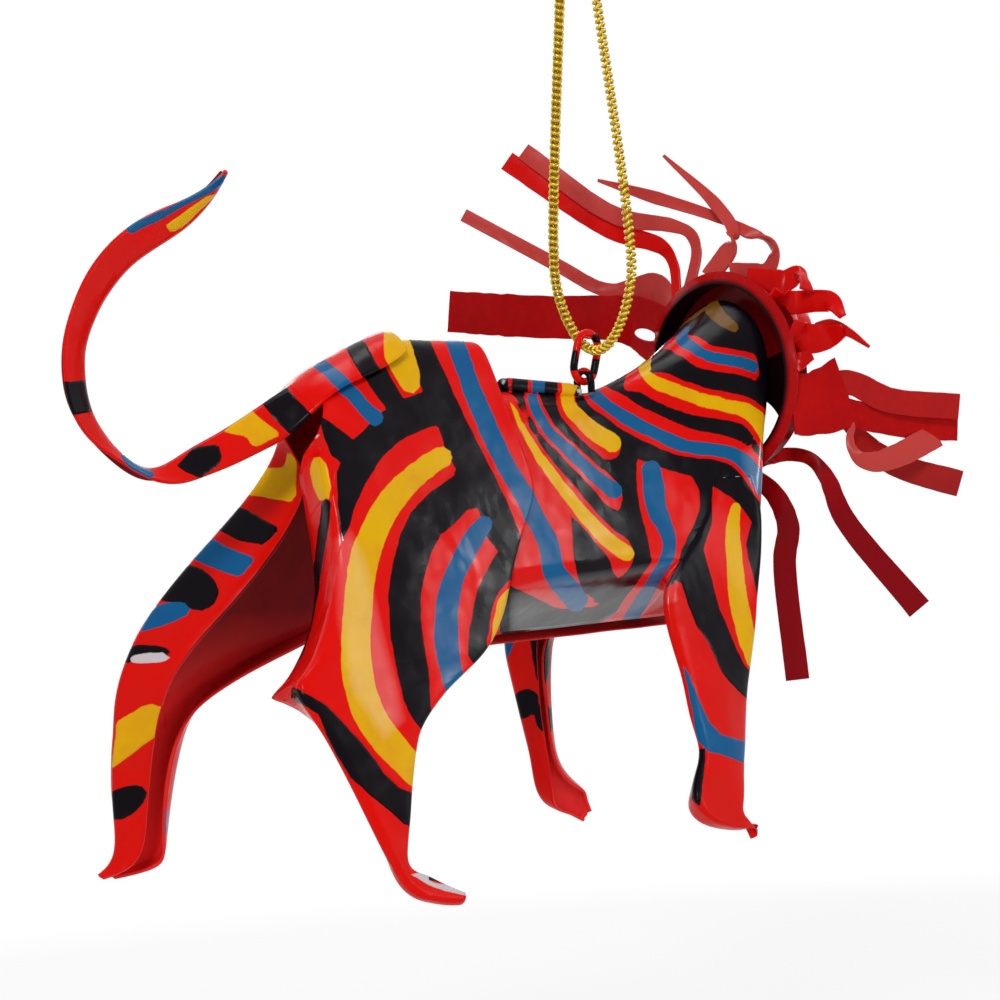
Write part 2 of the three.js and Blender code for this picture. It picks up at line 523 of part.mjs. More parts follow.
function tail() {
  const columns = [-1, -0.66, -0.33, 0, 0.33, 0.66, 1];
  const lift = SHEET + GAP + TAIL_EASE;
  const raised = HIND_RIDGE.map(([x, z]) => [x, z + lift]);
  const root = bodySurface(raised, -lift);
  const grid = TAIL_ROOT.map(([x, reach]) => columns.map((s) => (
    root.byDistance(x, Math.abs(s) * reach, Math.sign(s) || 1)
  )));
  const rows = smoothRows(TAIL_FOLD, 2);
  rows.forEach(([x, z, near, far, angle], i) => {
    const before = rows[Math.max(i - 1, 0)];
    const after = rows[Math.min(i + 1, rows.length - 1)];
    const heading = V(after[0] - before[0], 0, after[1] - before[1]).normalize();
    const up = V(heading.z, 0, -heading.x);
    const roof = THREE.MathUtils.degToRad(angle);
    grid.push(columns.map((s) => {
      const round = Math.min(Math.abs(s) * Math.PI, Math.PI / 2);
      const along = Math.abs(s) * (s < 0 ? near : far);
      const half = TAIL_FOLD_R * Math.sin(round) + along * Math.cos(roof);
      const down = TAIL_FOLD_R * (1 - Math.cos(round)) + along * Math.sin(roof);
      return V(x, Math.sign(s) * half, z).addScaledVector(up, -down);
    }));
  });
  return shell(grid, SHEET);
}

const STRIP_STEPS = 3;       // rows between two bends
const TURN_FROM = 0.1;       // share of a strip's length where its face begins to turn
const TURN_TO = 0.7;

// A flat strip that follows a curve. Its face looks one way at the root and turns to look another
// way at the tip.
function strip(points, widths, rootFacing, tipFacing) {
  const path = new THREE.CatmullRomCurve3(points, false, 'centripetal');
  const steps = STRIP_STEPS * (points.length - 1);
  const table = widths.map((width, k) => [k / (widths.length - 1), width]);
  const grid = [];
  for (let i = 0; i <= steps; i += 1) {
    const t = i / steps;
    const p = path.getPoint(t);
    const facing = rootFacing.clone().lerp(tipFacing, THREE.MathUtils.smoothstep(t, TURN_FROM, TURN_TO));
    const across = path.getTangent(t).cross(facing).normalize();
    const reach = lookUp(table, t) / 2;
    grid.push([-reach, reach].map((s) => p.clone().addScaledVector(across, s)));
  }
  return shell(grid, SHEET);
}

// At the ring a strip's face looks back along the body
function maneStrip([widths, facing, clock, ...bends]) {
  const angle = THREE.MathUtils.degToRad(clock);
  const inner = RIM_R - SHEET;
  const rootX = RIM_X + (COLLAR_LEAN * (ROOT_R - inner)) / (COLLAR_R - inner) + SHEET * 0.6;
  const root = V(rootX, ROOT_R * Math.sin(angle), RIM_Z + ROOT_R * Math.cos(angle));
  return strip([root, ...bends.map((p) => V(...p))], widths, V(-1, 0, 0), V(...facing).normalize());
}

function splitStrip([widths, facing, ...bends]) {
  const face = V(...facing).normalize();
  return strip(bends.map((p) => V(...p)), widths, face, face);
}

function roundX(profile, segments, x, z) {
  const points = profile.map(([r, along]) => new THREE.Vector2(r, along));
  const turned = new THREE.LatheGeometry(points, segments);
  return turned.rotateZ(-Math.PI / 2).translate(x, 0, z);
}

// The ring that carries the strips: a flared collar behind, a plate down to the throat in front
function mane() {
  const inner = RIM_R - SHEET;
  const band = roundX([
    [inner, 0], [COLLAR_R, COLLAR_LEAN], [COLLAR_R, COLLAR_LEAN + SHEET], [RIM_R, SHEET],
    [RIM_R, RIM_DEPTH], [inner, RIM_DEPTH], [inner, 0],
  ], 40, RIM_X, RIM_Z);
  const disc = roundX([
    [0, RIM_DEPTH - SHEET], [RIM_R, RIM_DEPTH - SHEET], [RIM_R, RIM_DEPTH], [0, RIM_DEPTH],
  ], 40, RIM_X, RIM_Z);
  const below = new THREE.BoxGeometry(RIM_DEPTH * 3, RIM_R * 2, RIM_R * 2);
  below.translate(RIM_X, 0, THROAT_Z - RIM_R);
  const strips = [...MANE_STRIPS.map(maneStrip), ...SPLIT_STRIPS.map(splitStrip)];
  const slot = new THREE.SphereGeometry(1, 16, 10).scale(...SLOT_SIZE);
  slot.rotateX(SLOT_PITCH).rotateZ(SLOT_YAW).translate(...SLOT_AT);
  return cut(join([band, cut(disc, below), ...strips]), slot);
}

// A solid domed face with a muzzle, a nose, two eyes and two round ears, in front of the plate
function face() {
  const dome = [[0, 0]];
  const steps = 8;
  for (let k = 0; k <= steps; k += 1) {
    const a = (Math.PI / 2) * (k / steps);
    dome.push([k === steps ? 0 : FACE_R * Math.cos(a), FACE_DEPTH * Math.sin(a)]);
  }
  const back = RIM_X + RIM_DEPTH + GAP;
  const tip = FACE_DEPTH + MUZZLE_LENGTH;
  const muzzle = roundX([
    [0, 1], [MUZZLE_R, 1], [MUZZLE_R, tip - 2.4], [MUZZLE_R * 0.86, tip - 1],
    [MUZZLE_R * 0.5, tip - 0.2], [0, tip],
  ], 20, back, MUZZLE_Z);
  const nose = new THREE.SphereGeometry(1.3, 12, 8).scale(0.8, 1.2, 0.8);
  nose.translate(back + tip - 0.5, 0, MUZZLE_Z + 1.5);
  const pieces = [roundX(dome, 32, back, FACE_Z), muzzle, nose];
  [-1, 1].forEach((side) => {
    const eye = new THREE.SphereGeometry(1.25, 12, 8);
    pieces.push(eye.translate(back + FACE_DEPTH * 0.76, side * 4.4, FACE_Z + 3.2));
    const ear = new THREE.SphereGeometry(2.1, 12, 8).scale(0.5, 1, 1);
    pieces.push(ear.translate(back + 1.6, side * 6.2, FACE_Z + 6.0));
  });
  return join(pieces);
}

// The cord crosses the ring's plane here, seen in the lion's own frame
const CROSSING_Z = 64.95;
const TILT = THREE.MathUtils.degToRad(RING_TILT);
const RING_AXIS = V(Math.sin(TILT), 0, Math.cos(TILT));
const RING_TOP = V(0, 0, CROSSING_Z).addScaledVector(RING_AXIS, (CORD_D + RING_WIRE_D) / 2 + GAP);
const RING_CENTRE = RING_TOP.clone().addScaledVector(RING_AXIS, -RING_LENGTH / 2);
const RING_BOTTOM = RING_TOP.clone().addScaledVector(RING_AXIS, -RING_LENGTH);
const EYE_TOP = RING_BOTTOM.clone().addScaledVector(RING_AXIS, (EYE_WIRE_D + RING_WIRE_D) / 2 + GAP);

// A staple of wire, its two feet soldered to the ridge, its arch through the ring
function backEye() {
  const r = EYE_WIDTH / 2;
  const shoulder = EYE_TOP.z - r;
  const points = [V(EYE_TOP.x, -r, EYE_FOOT_Z)];
  for (let k = 0; k <= 6; k += 1) {
    const a = Math.PI * (1 - k / 6);
    points.push(V(EYE_TOP.x, r * Math.cos(a), shoulder + r * Math.sin(a)));
  }
  points.push(V(EYE_TOP.x, r, EYE_FOOT_Z));
  return wireAlong(points, EYE_WIRE_D, 22);
}

function hangingRing() {
  const r = RING_WIDTH / 2;
  const straight = RING_LENGTH / 2 - r;
  const points = [];
  for (let k = 0; k < 20; k += 1) {
    const a = (2 * Math.PI * k) / 20;
    const along = r * Math.sin(a) + straight * Math.sign(Math.round(Math.sin(a) * 1e6));
    const p = V(r * Math.cos(a), 0, along).applyAxisAngle(V(0, 1, 0), TILT);
    points.push(p.add(RING_CENTRE));
  }
  const path = new THREE.CatmullRomCurve3(points, true, 'centripetal');
  return new THREE.TubeGeometry(path, 36, RING_WIRE_D / 2, 8, true);
}

// The cord hangs in one plane across the lion, from the knot down through the ring and back up
const CORD_ROUTE = [
  [0.75, -0.9], [1.0, -4], [1.6, -10], [2.4, -17], [3.4, -25], [4.6, -34], [5.7, -42.5],
  [6.5, -49.5], [CORD_SPREAD, -54.5], [6.8, -59], [5.2, -63.5], [2.7, -66.7], [1.0, -67.6],
];

function cordPoints() {
  const half = CORD_ROUTE.map(([y, z]) => V(0, y, z));
  const other = CORD_ROUTE.map(([y, z]) => V(0, -y, z)).reverse();
  return [...half, V(0, 0, -CORD_LOOP), ...other];
}

function hangingCord() {
  return wireAlong(cordPoints(), CORD_D, 76);
}

// A small knot of three turns, with the cord's two cut ends above it
function cordKnot() {
  const turns = 3;
  const r = CORD_D / 2;
  const profile = [[0, 0]];
  for (let k = 0; k < turns; k += 1) {
    const bulge = k === 1 ? 2.9 : 2.5;
    for (let m = 0; m <= 6; m += 1) {
      const a = -Math.PI / 2 + (Math.PI * (m + 0.5)) / 7;
      profile.push([bulge * r - r + r * Math.cos(a) + 0.2, r + k * CORD_D * 0.86 + r * Math.sin(a) * 0.92]);
    }
  }
  const height = r + (turns - 1) * CORD_D * 0.86 + r;
  profile.push([0, height]);
  const body = new THREE.LatheGeometry(profile.map(([x, y]) => new THREE.Vector2(x, y)), 20);
  body.rotateX(Math.PI / 2).translate(0, 0, -0.6);
  const ends = [-1, 1].map((s) => wireAlong([
    V(0, s * 0.7, height - 1.6), V(0, s * 0.9, height),
    V(s * 0.3, s * 1.6, height + TAIL_END * 0.6), V(s * 0.5, s * 2.1, height + TAIL_END),
  ], CORD_D, 8));
  return join([body, ...ends]);
}

const lion = new THREE.Group();
lion.position.set(0, SIDE_HANG, -(EYE_HEIGHT + HANG_DROP));
lion.add(mesh('hind_body', hindBody(), COLOURS.hind));
lion.add(mesh('fore_body', foreBody(), COLOURS.fore));
lion.add(mesh('tail', tail(), COLOURS.tail));
lion.add(mesh('mane', mane(), COLOURS.mane));
lion.add(mesh('face', face(), COLOURS.face));
lion.add(mesh('back_eye', backEye(), COLOURS.wire));
lion.add(mesh('hanging_ring', hangingRing(), COLOURS.ring));

const group = new THREE.Group();
group.add(lion);
group.add(mesh('hanging_cord', hangingCord(), COLOURS.cord, 0.45, 0.7));
group.add(mesh('cord_knot', cordKnot(), COLOURS.cord, 0.45, 0.7));

export default group;
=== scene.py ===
import math

import bmesh
import bpy
import numpy as np
from mathutils import Matrix, Vector, noise


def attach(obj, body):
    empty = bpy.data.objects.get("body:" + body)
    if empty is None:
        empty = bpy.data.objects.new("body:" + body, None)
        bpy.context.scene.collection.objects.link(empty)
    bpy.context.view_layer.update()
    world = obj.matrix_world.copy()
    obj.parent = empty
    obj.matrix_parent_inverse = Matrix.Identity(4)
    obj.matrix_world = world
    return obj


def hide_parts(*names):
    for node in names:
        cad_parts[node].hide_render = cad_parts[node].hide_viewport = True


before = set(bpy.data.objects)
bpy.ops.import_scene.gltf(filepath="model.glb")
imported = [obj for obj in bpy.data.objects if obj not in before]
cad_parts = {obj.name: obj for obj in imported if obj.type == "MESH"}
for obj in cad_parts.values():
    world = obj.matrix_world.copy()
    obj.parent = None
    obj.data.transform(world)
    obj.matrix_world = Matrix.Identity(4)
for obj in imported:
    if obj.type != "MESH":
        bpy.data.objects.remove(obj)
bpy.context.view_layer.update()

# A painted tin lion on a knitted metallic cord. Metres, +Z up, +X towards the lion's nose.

MM = 0.001
TINY = 1e-9              # keeps a division from failing

# The lion's own frame inside the part: its mid-plane and the plane under its feet
LION = Vector((0.0, 1.6, -132.0)) * MM

# Camera

EYE = Vector((-310.2, -324.9, -77.1)) * MM
AZIMUTH = math.radians(-42)
ELEVATION = math.radians(1.1)
ROLL = math.radians(3.2)
FOCAL_PX = 3600.0
FRAME_PX = 1000.0
SENSOR_MM = 36.0
CLIP = (0.01, 20)


def camera_axes():
    back = Vector((
        math.sin(AZIMUTH) * math.cos(ELEVATION),
        -math.cos(AZIMUTH) * math.cos(ELEVATION),
        math.sin(ELEVATION),
    ))
    level = (-back).cross(Vector((0, 0, 1))).normalized()
    upright = level.cross(-back)
    right = level * math.cos(ROLL) - upright * math.sin(ROLL)
    up = upright * math.cos(ROLL) + level * math.sin(ROLL)
    return right, up, back


RIGHT, UP, BACK = camera_axes()


def make_camera():
    data = bpy.data.cameras.new("camera")
    data.sensor_width = SENSOR_MM
    data.lens = FOCAL_PX / FRAME_PX * SENSOR_MM
    data.clip_start, data.clip_end = CLIP
    camera = placed("camera", data)
    rows = Matrix((RIGHT, UP, BACK)).transposed()
    camera.matrix_world = Matrix.Translation(EYE) @ rows.to_4x4()
    bpy.context.scene.camera = camera


def to_picture(points):
    """Picture coordinates of points given as an array of metres."""
    rel = points - np.array(EYE)
    depth = -rel @ np.array(BACK)
    x = FRAME_PX / 2 + FOCAL_PX * (rel @ np.array(RIGHT)) / depth
    y = FRAME_PX / 2 - FOCAL_PX * (rel @ np.array(UP)) / depth
    return np.stack([x, y], 1)


# Objects, meshes and places


def placed(name, data):
    thing = bpy.data.objects.new(name, data)
    bpy.context.scene.collection.objects.link(thing)
    return thing


def in_lion(points):
    """Places in the part of points given in millimetres in the lion's own frame."""
    return [LION + Vector(p) * MM for p in points]


def shade_smooth(mesh):
    mesh.polygons.foreach_set("use_smooth", [True] * len(mesh.polygons))


def mesh_of(name, bm):
    """A mesh out of a bmesh, which goes."""
    mesh = bpy.data.meshes.new(name)
    bm.to_mesh(mesh)
    bm.free()
    return mesh


def new_mesh(name, vertices, faces, smooth=True):
    mesh = bpy.data.meshes.new(name)
    mesh.from_pydata([tuple(v) for v in vertices], [], faces)
    mesh.update()
    bm = bmesh.new()
    bm.from_mesh(mesh)
    bmesh.ops.recalc_face_normals(bm, faces=bm.faces)
    bm.to_mesh(mesh)
    bm.free()
    if smooth:
        shade_smooth(mesh)
    return placed(name, mesh)


def evaluated(piece):
    """The piece's mesh with its modifiers applied."""
    bpy.context.view_layer.update()
    graph = bpy.context.evaluated_depsgraph_get()
    return bpy.data.meshes.new_from_object(piece.evaluated_get(graph))


def rows_of(items, key):
    """Three numbers of every item, as an array."""
    values = np.zeros(len(items) * 3)
    items.foreach_get(key, values)
    return values.reshape(-1, 3)


def store(mesh, fields):
    for name, values in fields.items():
        attribute = mesh.attributes.new(name, "FLOAT", "POINT")
        attribute.data.foreach_set("value", values.astype(np.float32))


def dress(piece, material):
    piece.data.materials.clear()
    piece.data.materials.append(material)


def stand_in(piece, node, body, material):
    """Give a piece its material and the place of a CAD solid."""
    dress(piece, material)
    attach(piece, body)
    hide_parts(node)


# Curves


def spline(points, steps):
    """A centripetal curve through the points, as a list of vectors."""
    pts = [Vector(p) for p in points]
    pts = [pts[0] * 2 - pts[1]] + pts + [pts[-1] * 2 - pts[-2]]
    out = []
    for i in range(1, len(pts) - 2):
        a, b, c, d = pts[i - 1:i + 3]
        t0 = 0.0
        t1 = t0 + max((b - a).length, TINY) ** 0.5
        t2 = t1 + max((c - b).length, TINY) ** 0.5
        t3 = t2 + max((d - c).length, TINY) ** 0.5
        for k in range(steps):
            t = t1 + (t2 - t1) * k / steps
            ab = a.lerp(b, (t - t0) / (t1 - t0))
            bc = b.lerp(c, (t - t1) / (t2 - t1))
            cd = c.lerp(d, (t - t2) / (t3 - t2))
            abc = ab.lerp(bc, (t - t0) / (t2 - t0))
            bcd = bc.lerp(cd, (t - t1) / (t3 - t1))
            out.append(abc.lerp(bcd, (t - t1) / (t2 - t1)))
    out.append(pts[-2])
    return out


def evenly(points, spacing):
    """The same line with points about that far apart, and its length."""
    line = np.array([tuple(p) for p in points])
    runs = np.linalg.norm(np.diff(line, axis=0), axis=1)
    along = np.concatenate([[0], np.cumsum(runs)])
    count = max(int(round(along[-1] / spacing)), 2)
    want = np.linspace(0, along[-1], count + 1)
    return np.stack([np.interp(want, along, line[:, k]) for k in range(3)], 1), along[-1]


def crosswise(line):
    """Two directions across the line at each point, turning as little as they can."""
    tangents = np.gradient(line, axis=0)
    tangents /= np.linalg.norm(tangents, axis=1)[:, None]
    side = np.cross(tangents[0], [1.0, 0.0, 0.0])
    side /= np.linalg.norm(side)
    sides = [side]
    for t in tangents[1:]:
        side = sides[-1] - t * np.dot(sides[-1], t)
        sides.append(side / np.linalg.norm(side))
    sides = np.array(sides)
    return sides, np.cross(tangents, sides)


def tube_rings(line, radius, count):
    """Rings of points round a line, as one array."""
    u, v = crosswise(line)
    angles = np.arange(count) * 2 * math.pi / count
    ring = np.cos(angles)[None, :, None] * u[:, None] + np.sin(angles)[None, :, None] * v[:, None]
    return line[:, None] + ring * radius


def tube_faces(rings, count, closed=False):
    """Faces of a tube whose rings are stored one after another, with flat ends unless closed."""
    faces = []
    for i in range(rings if closed else rings - 1):
        here, there = i * count, (i + 1) % rings * count
        for k in range(count):
            m = (k + 1) % count
            faces.append([here + k, here + m, there + m, there + k])
    if not closed:
        faces.append(list(range(count))[::-1])
        faces.append([(rings - 1) * count + k for k in range(count)])
    return faces


# Cord: a knitted tube, told by one yarn that winds in waves round the cord's line

CORD_D = 1.35 * MM
CORD_LOOP = 67.8         # millimetres from the knot to the lowest point
CORD_ROUTE = [           # one strand from the knot down, in millimetres: to the side, and height
    (0.75, -0.9), (1.0, -4), (1.6, -10), (2.4, -17), (3.4, -25), (4.6, -34), (5.7, -42.5),
    (6.5, -49.5), (6.9, -54.5), (6.8, -59), (5.2, -63.5), (2.7, -66.7), (1.0, -67.6),
]
CORD_STEPS = 10          # between two points of the route
LINE_STEP = 0.15 * MM
PEAKS = 2                # peaks of the yarn in one turn round the tube
COURSE = 0.8 * MM        # from one turn to the next
YARN_D = 0.5 * MM
PEAK_REACH = 0.17 * MM   # half the height from a trough to a peak
PEAK_STEPS = 12
YARN_SIDES = 6
KNOT_TURNS = 2.6
KNOT_PITCH = 1.16 * MM
KNOT_RADIUS = 1.22 * MM
KNOT_BASE = 0.1 * MM
KNOT_STEPS = 60
TAIL_ENDS = [(0.0, 0.7, 1.3), (0.0, 0.9, 2.9), (0.3, 1.6, 6.2), (0.5, 2.1, 9.05)]
TAIL_STEPS = 8


def knitted(points):
    """Vertices and faces of a yarn wound in waves round a line, and the line's length."""
    fine, length = evenly(points, LINE_STEP)
    u, v = crosswise(fine)
    places = np.linspace(0, length, len(fine))
    rounds = int(round((length - 2 * PEAK_REACH) / COURSE))
    turn = np.linspace(0, 2 * math.pi * rounds, rounds * PEAKS * PEAK_STEPS + 1)
    along = PEAK_REACH + (length - 2 * PEAK_REACH) * turn / turn[-1]
    along = along + PEAK_REACH * np.cos(PEAKS * turn)
    radius = (CORD_D - YARN_D) / 2

    def there(rows):
        return np.stack([np.interp(along, places, rows[:, k]) for k in range(3)], 1)

    path = there(fine) + (np.cos(turn) * radius)[:, None] * there(u)
    path += (np.sin(turn) * radius)[:, None] * there(v)
    rings = tube_rings(path, YARN_D / 2, YARN_SIDES)
    return list(rings.reshape(-1, 3)), tube_faces(len(path), YARN_SIDES), length


def make_cord(material):
    half = [(0.0, y * MM, z * MM) for y, z in CORD_ROUTE]
    other = [(0.0, -y * MM, z * MM) for y, z in reversed(CORD_ROUTE)]
    line = spline(half + [(0.0, 0.0, -CORD_LOOP * MM)] + other, CORD_STEPS)
    vertices, faces, length = knitted(line)
    cord = new_mesh("knitted_cord", vertices, faces)
    stand_in(cord, "hanging_cord", "cord", material)

    wraps = []
    for k in range(KNOT_STEPS + 1):
        a = 2 * math.pi * KNOT_TURNS * k / KNOT_STEPS
        z = KNOT_BASE + KNOT_PITCH * KNOT_TURNS * k / KNOT_STEPS
        wraps.append((KNOT_RADIUS * math.cos(a), KNOT_RADIUS * math.sin(a), z))
    vertices, faces, _ = knitted(wraps)
    for side in (-1, 1):
        tail = [(side * x * MM, side * y * MM, z * MM) for x, y, z in TAIL_ENDS]
        more, ends, _ = knitted(spline(tail, TAIL_STEPS))
        faces += [[i + len(vertices) for i in face] for face in ends]
        vertices += more
    knot = new_mesh("cord_knot_wraps", vertices, faces)
    stand_in(knot, "cord_knot", "cord", material)


# Materials


def linear(r, g, b):
    """A colour given as it looks on screen, from 0 to 255."""
    def one(c):
        c /= 255
        return c / 12.92 if c <= 0.04045 else ((c + 0.055) / 1.055) ** 2.4
    return (one(r), one(g), one(b), 1.0)


RED = linear(226, 12, 6)
RED_WORN = linear(212, 22, 12)
BLACK = linear(12, 7, 14)
BLUE = linear(16, 92, 142)
BLUE_DEEP = linear(24, 78, 140)
YELLOW = linear(230, 176, 5)
ORANGE = linear(222, 150, 24)
# Painted shade: the yellow as it shows dimmed in the collar's shadow
YELLOW_IN_SHADE = linear(112, 74, 18)
# Bare tin of the cut rims; the same pale grey also paints glints
TIN_AND_GLINT = linear(206, 196, 200)
INSIDE = linear(140, 8, 10)
INSIDE_DARK = linear(104, 4, 10)
# Painted light: bright red for the legs' lining low down, where it catches the light
LINING_PAINTED_LIGHT = linear(232, 44, 44)
GOLD_BRIGHT = linear(232, 200, 66)
GOLD_DULL = linear(150, 118, 28)
MANE_RED = linear(180, 12, 14)
MANE_DARK = linear(158, 8, 14)
MANE_GRAIN = linear(204, 22, 16)
MANE_LOW = linear(134, 8, 18)
# Painted reflection: a pale red for strips that mirror the bright surroundings, and a deeper red
# for those that don't
MANE_REFLECTION = linear(206, 84, 78)
MANE_UNREFLECTED = linear(224, 12, 6)
# Painted shade for the hollow of the mane's ring
HOLLOW_SHADE = linear(22, 4, 8)
WHITE = (1, 1, 1, 1)
MIX_FACTOR, MIX_A, MIX_B, MIX_RESULT = 0, 6, 7, 2    # sockets of a Mix node set to colours


class Shader:
    """A material with a Principled shader and short ways to add and link nodes."""

    def __init__(self, name, **settings):
        self.material = bpy.data.materials.new(name)
        self.material.use_nodes = True
        self.tree = self.material.node_tree
        self.surface = self.tree.nodes["Principled BSDF"]
        for key, value in settings.items():
            self.surface.inputs[key.replace("_", " ")].default_value = value

    def add(self, kind, inputs=None, **properties):
        node = self.tree.nodes.new(kind)
        for key, value in properties.items():
            setattr(node, key, value)
        for key, value in (inputs or {}).items():
            self.put(node.inputs[key], value)
        return node

    def put(self, socket, value):
        if isinstance(value, bpy.types.NodeSocket):
            self.tree.links.new(value, socket)
        else:
            socket.default_value = value

    def set(self, name, value):
        self.put(self.surface.inputs[name], value)

    def place(self):
        return self.add("ShaderNodeTexCoord").outputs["Object"]

    def height(self):
        return self.add("ShaderNodeSeparateXYZ", {0: self.place()}).outputs["Z"]

    def attribute(self, name):
        return self.add("ShaderNodeAttribute", attribute_name=name).outputs["Fac"]

    def math(self, operation, a, b):
        return self.add("ShaderNodeMath", {0: a, 1: b}, operation=operation).outputs[0]

    def noise(self, scale, detail, roughness):
        inputs = {"Vector": self.place(), "Scale": scale, "Detail": detail, "Roughness": roughness}
        return self.add("ShaderNodeTexNoise", inputs).outputs["Fac"]

    def ramp(self, value, low, high, to_low=0.0, to_high=1.0):
        node = self.add("ShaderNodeMapRange", {
            "Value": value, "From Min": low, "From Max": high, "To Min": to_low, "To Max": to_high,
        }, clamp=True)
        return node.outputs["Result"]

    def mix(self, factor, a, b):
        inputs = {MIX_FACTOR: factor, MIX_A: a, MIX_B: b}
        return self.add("ShaderNodeMix", inputs, data_type="RGBA").outputs[MIX_RESULT]

    def over(self, colour, top, value, low, high):
        """The colour, with another over it as far as the value has come from low to high."""
        return self.mix(self.ramp(value, low, high), colour, top)

    def bump(self, height, distance, strength, normal=None):
        inputs = {"Height": height, "Distance": distance, "Strength": strength}
        if normal is not None:
            inputs["Normal"] = normal
        return self.add("ShaderNodeBump", inputs).outputs["Normal"]


ENAMEL = {"Roughness": 0.2, "Specular_IOR_Level": 0.06}
GOLD = {"Metallic": 0.85, "Roughness": 0.36}
# The paints, each over the one before, and those that another colour streaks, with its range. The
# dull yellow is painted shade, and the pale tin grey also paints glints.
PAINTS = {"black": BLACK, "red": RED, "blue": BLUE, "yellow": YELLOW, "shaded_yellow": YELLOW_IN_SHADE, "tin_and_glint": TIN_AND_GLINT}
STREAKED = {"blue": (BLUE_DEEP, 0.5, 0.85), "yellow": (ORANGE, 0.45, 0.8)}

# Noises: scale per metre, detail, roughness
PEEL_NOISE = (900.0, 3.0, 0.6)
GLOSS_NOISE = (260.0, 2.0, 0.5)
SWELL_NOISE = (170.0, 2.0, 0.5)
WARP_NOISE = (420.0, 3.0, 0.55)
STREAK_NOISE = (120.0, 5.0, 0.7)
LINING_NOISE = (300.0, 3.0, 0.5)
BARE_NOISE = (700.0, 2.0, 0.5)
TWIST_NOISE = (5200.0, 2.0, 0.6)
CLOUD_NOISE = (90.0, 4.0, 0.65)
GRAIN_NOISE = (1500.0, 2.0, 0.5)

# Bumps: distance in metres, strength
PEEL_BUMP = (0.00003, 0.35)
MANE_PEEL_BUMP = (0.00003, 0.12)
SWELL_BUMP = (0.0005, 0.45)
THICKNESS_BUMP = (0.00012, 0.6)
TWIST_BUMP = (0.00004, 0.5)

# Ramps: the value where they start and where they end, and for some what they go from and to
GLOSS = (0.3, 0.7, 0.13, 0.3)
RED_STREAKS = (0.35, 0.75)
PAINT_EDGE = (0.05, -0.05)   # millimetres from a paint's outline, as its thickness and polish
PAINT_THICKNESS = (0.0, -0.25)
POLISH = (0.4, -0.9)
SKIN_INSIDE = (0.6, 0.4)     # "skin" is 1 outside, 0 inside, 2 on a cut rim
SKIN_RIM = (1.4, 1.6)
BARE_TIN = (0.56, 0.66)
KNEE_TO_FOOT = (-0.097, -0.108)  # heights between which the lining turns from dark to red
TWIST = (0.3, 0.75)
TWIST_GLOSS = (0.2, 0.8, 0.26, 0.5)
MANE_CLOUDS = (0.35, 0.7)
MANE_GRAINS = (0.45, 0.75)
MANE_GRAIN_SHARE = 0.25
MANE_LOW_Z = (-0.082, -0.090)
MANE_HOLLOW = (12.6, 12.0)   # radius in millimetres
WARP_MIDDLE = 0.5
WARP_REACH = 0.5


def enamel_finish(shader, colour, thickness=None, peel_bump=PEEL_BUMP):
    """Gloss, soft hammering and the fine orange peel of brushed enamel."""
    shader.set("Roughness", shader.ramp(shader.noise(*GLOSS_NOISE), *GLOSS))
    peel = shader.bump(shader.noise(*PEEL_NOISE), *peel_bump)
    rolled = shader.bump(shader.noise(*SWELL_NOISE), *SWELL_BUMP, peel)
    if thickness is not None:
        rolled = shader.bump(thickness, *THICKNESS_BUMP, rolled)
    shader.set("Normal", rolled)
    shader.set("Base Color", colour)


def painted_tin():
    """Enamel whose stripes come from the signed distances stored on the mesh."""
    shader = Shader("painted_tin", **ENAMEL)
    wander = shader.math("SUBTRACT", shader.noise(*WARP_NOISE), WARP_MIDDLE)
    warp = shader.math("MULTIPLY", wander, WARP_REACH)
    streak = shader.noise(*STREAK_NOISE)
    colour = shader.over(RED, RED_WORN, streak, *RED_STREAKS)
    height = None
    for name, tone in PAINTS.items():
        edge = shader.math("ADD", shader.attribute(name), warp)
        if name in STREAKED:
            other, low, high = STREAKED[name]
            tone = shader.over(tone, other, streak, low, high)
        colour = shader.over(colour, tone, edge, *PAINT_EDGE)
        thick = shader.ramp(edge, *PAINT_THICKNESS)
        height = thick if height is None else shader.math("MAXIMUM", height, thick)
    skin = shader.attribute("skin")
    lining = shader.mix(shader.noise(*LINING_NOISE), INSIDE, INSIDE_DARK)
    # Painted light: the lining turns bright red towards the feet, where light reaches into the
    # legs' channels
    lining = shader.over(lining, LINING_PAINTED_LIGHT, shader.height(), *KNEE_TO_FOOT)
    colour = shader.over(colour, lining, skin, *SKIN_INSIDE)
    bare = shader.ramp(shader.noise(*BARE_NOISE), *BARE_TIN)
    bare = shader.math("MULTIPLY", shader.ramp(skin, *SKIN_RIM), bare)
    enamel_finish(shader, shader.mix(bare, colour, TIN_AND_GLINT), height)
    polish = shader.ramp(shader.attribute("polish"), *POLISH)
    dull = ENAMEL["Specular_IOR_Level"]
    shader.set("Specular IOR Level", shader.ramp(polish, 0.0, 1.0, dull, 1.0))
    return shader.material


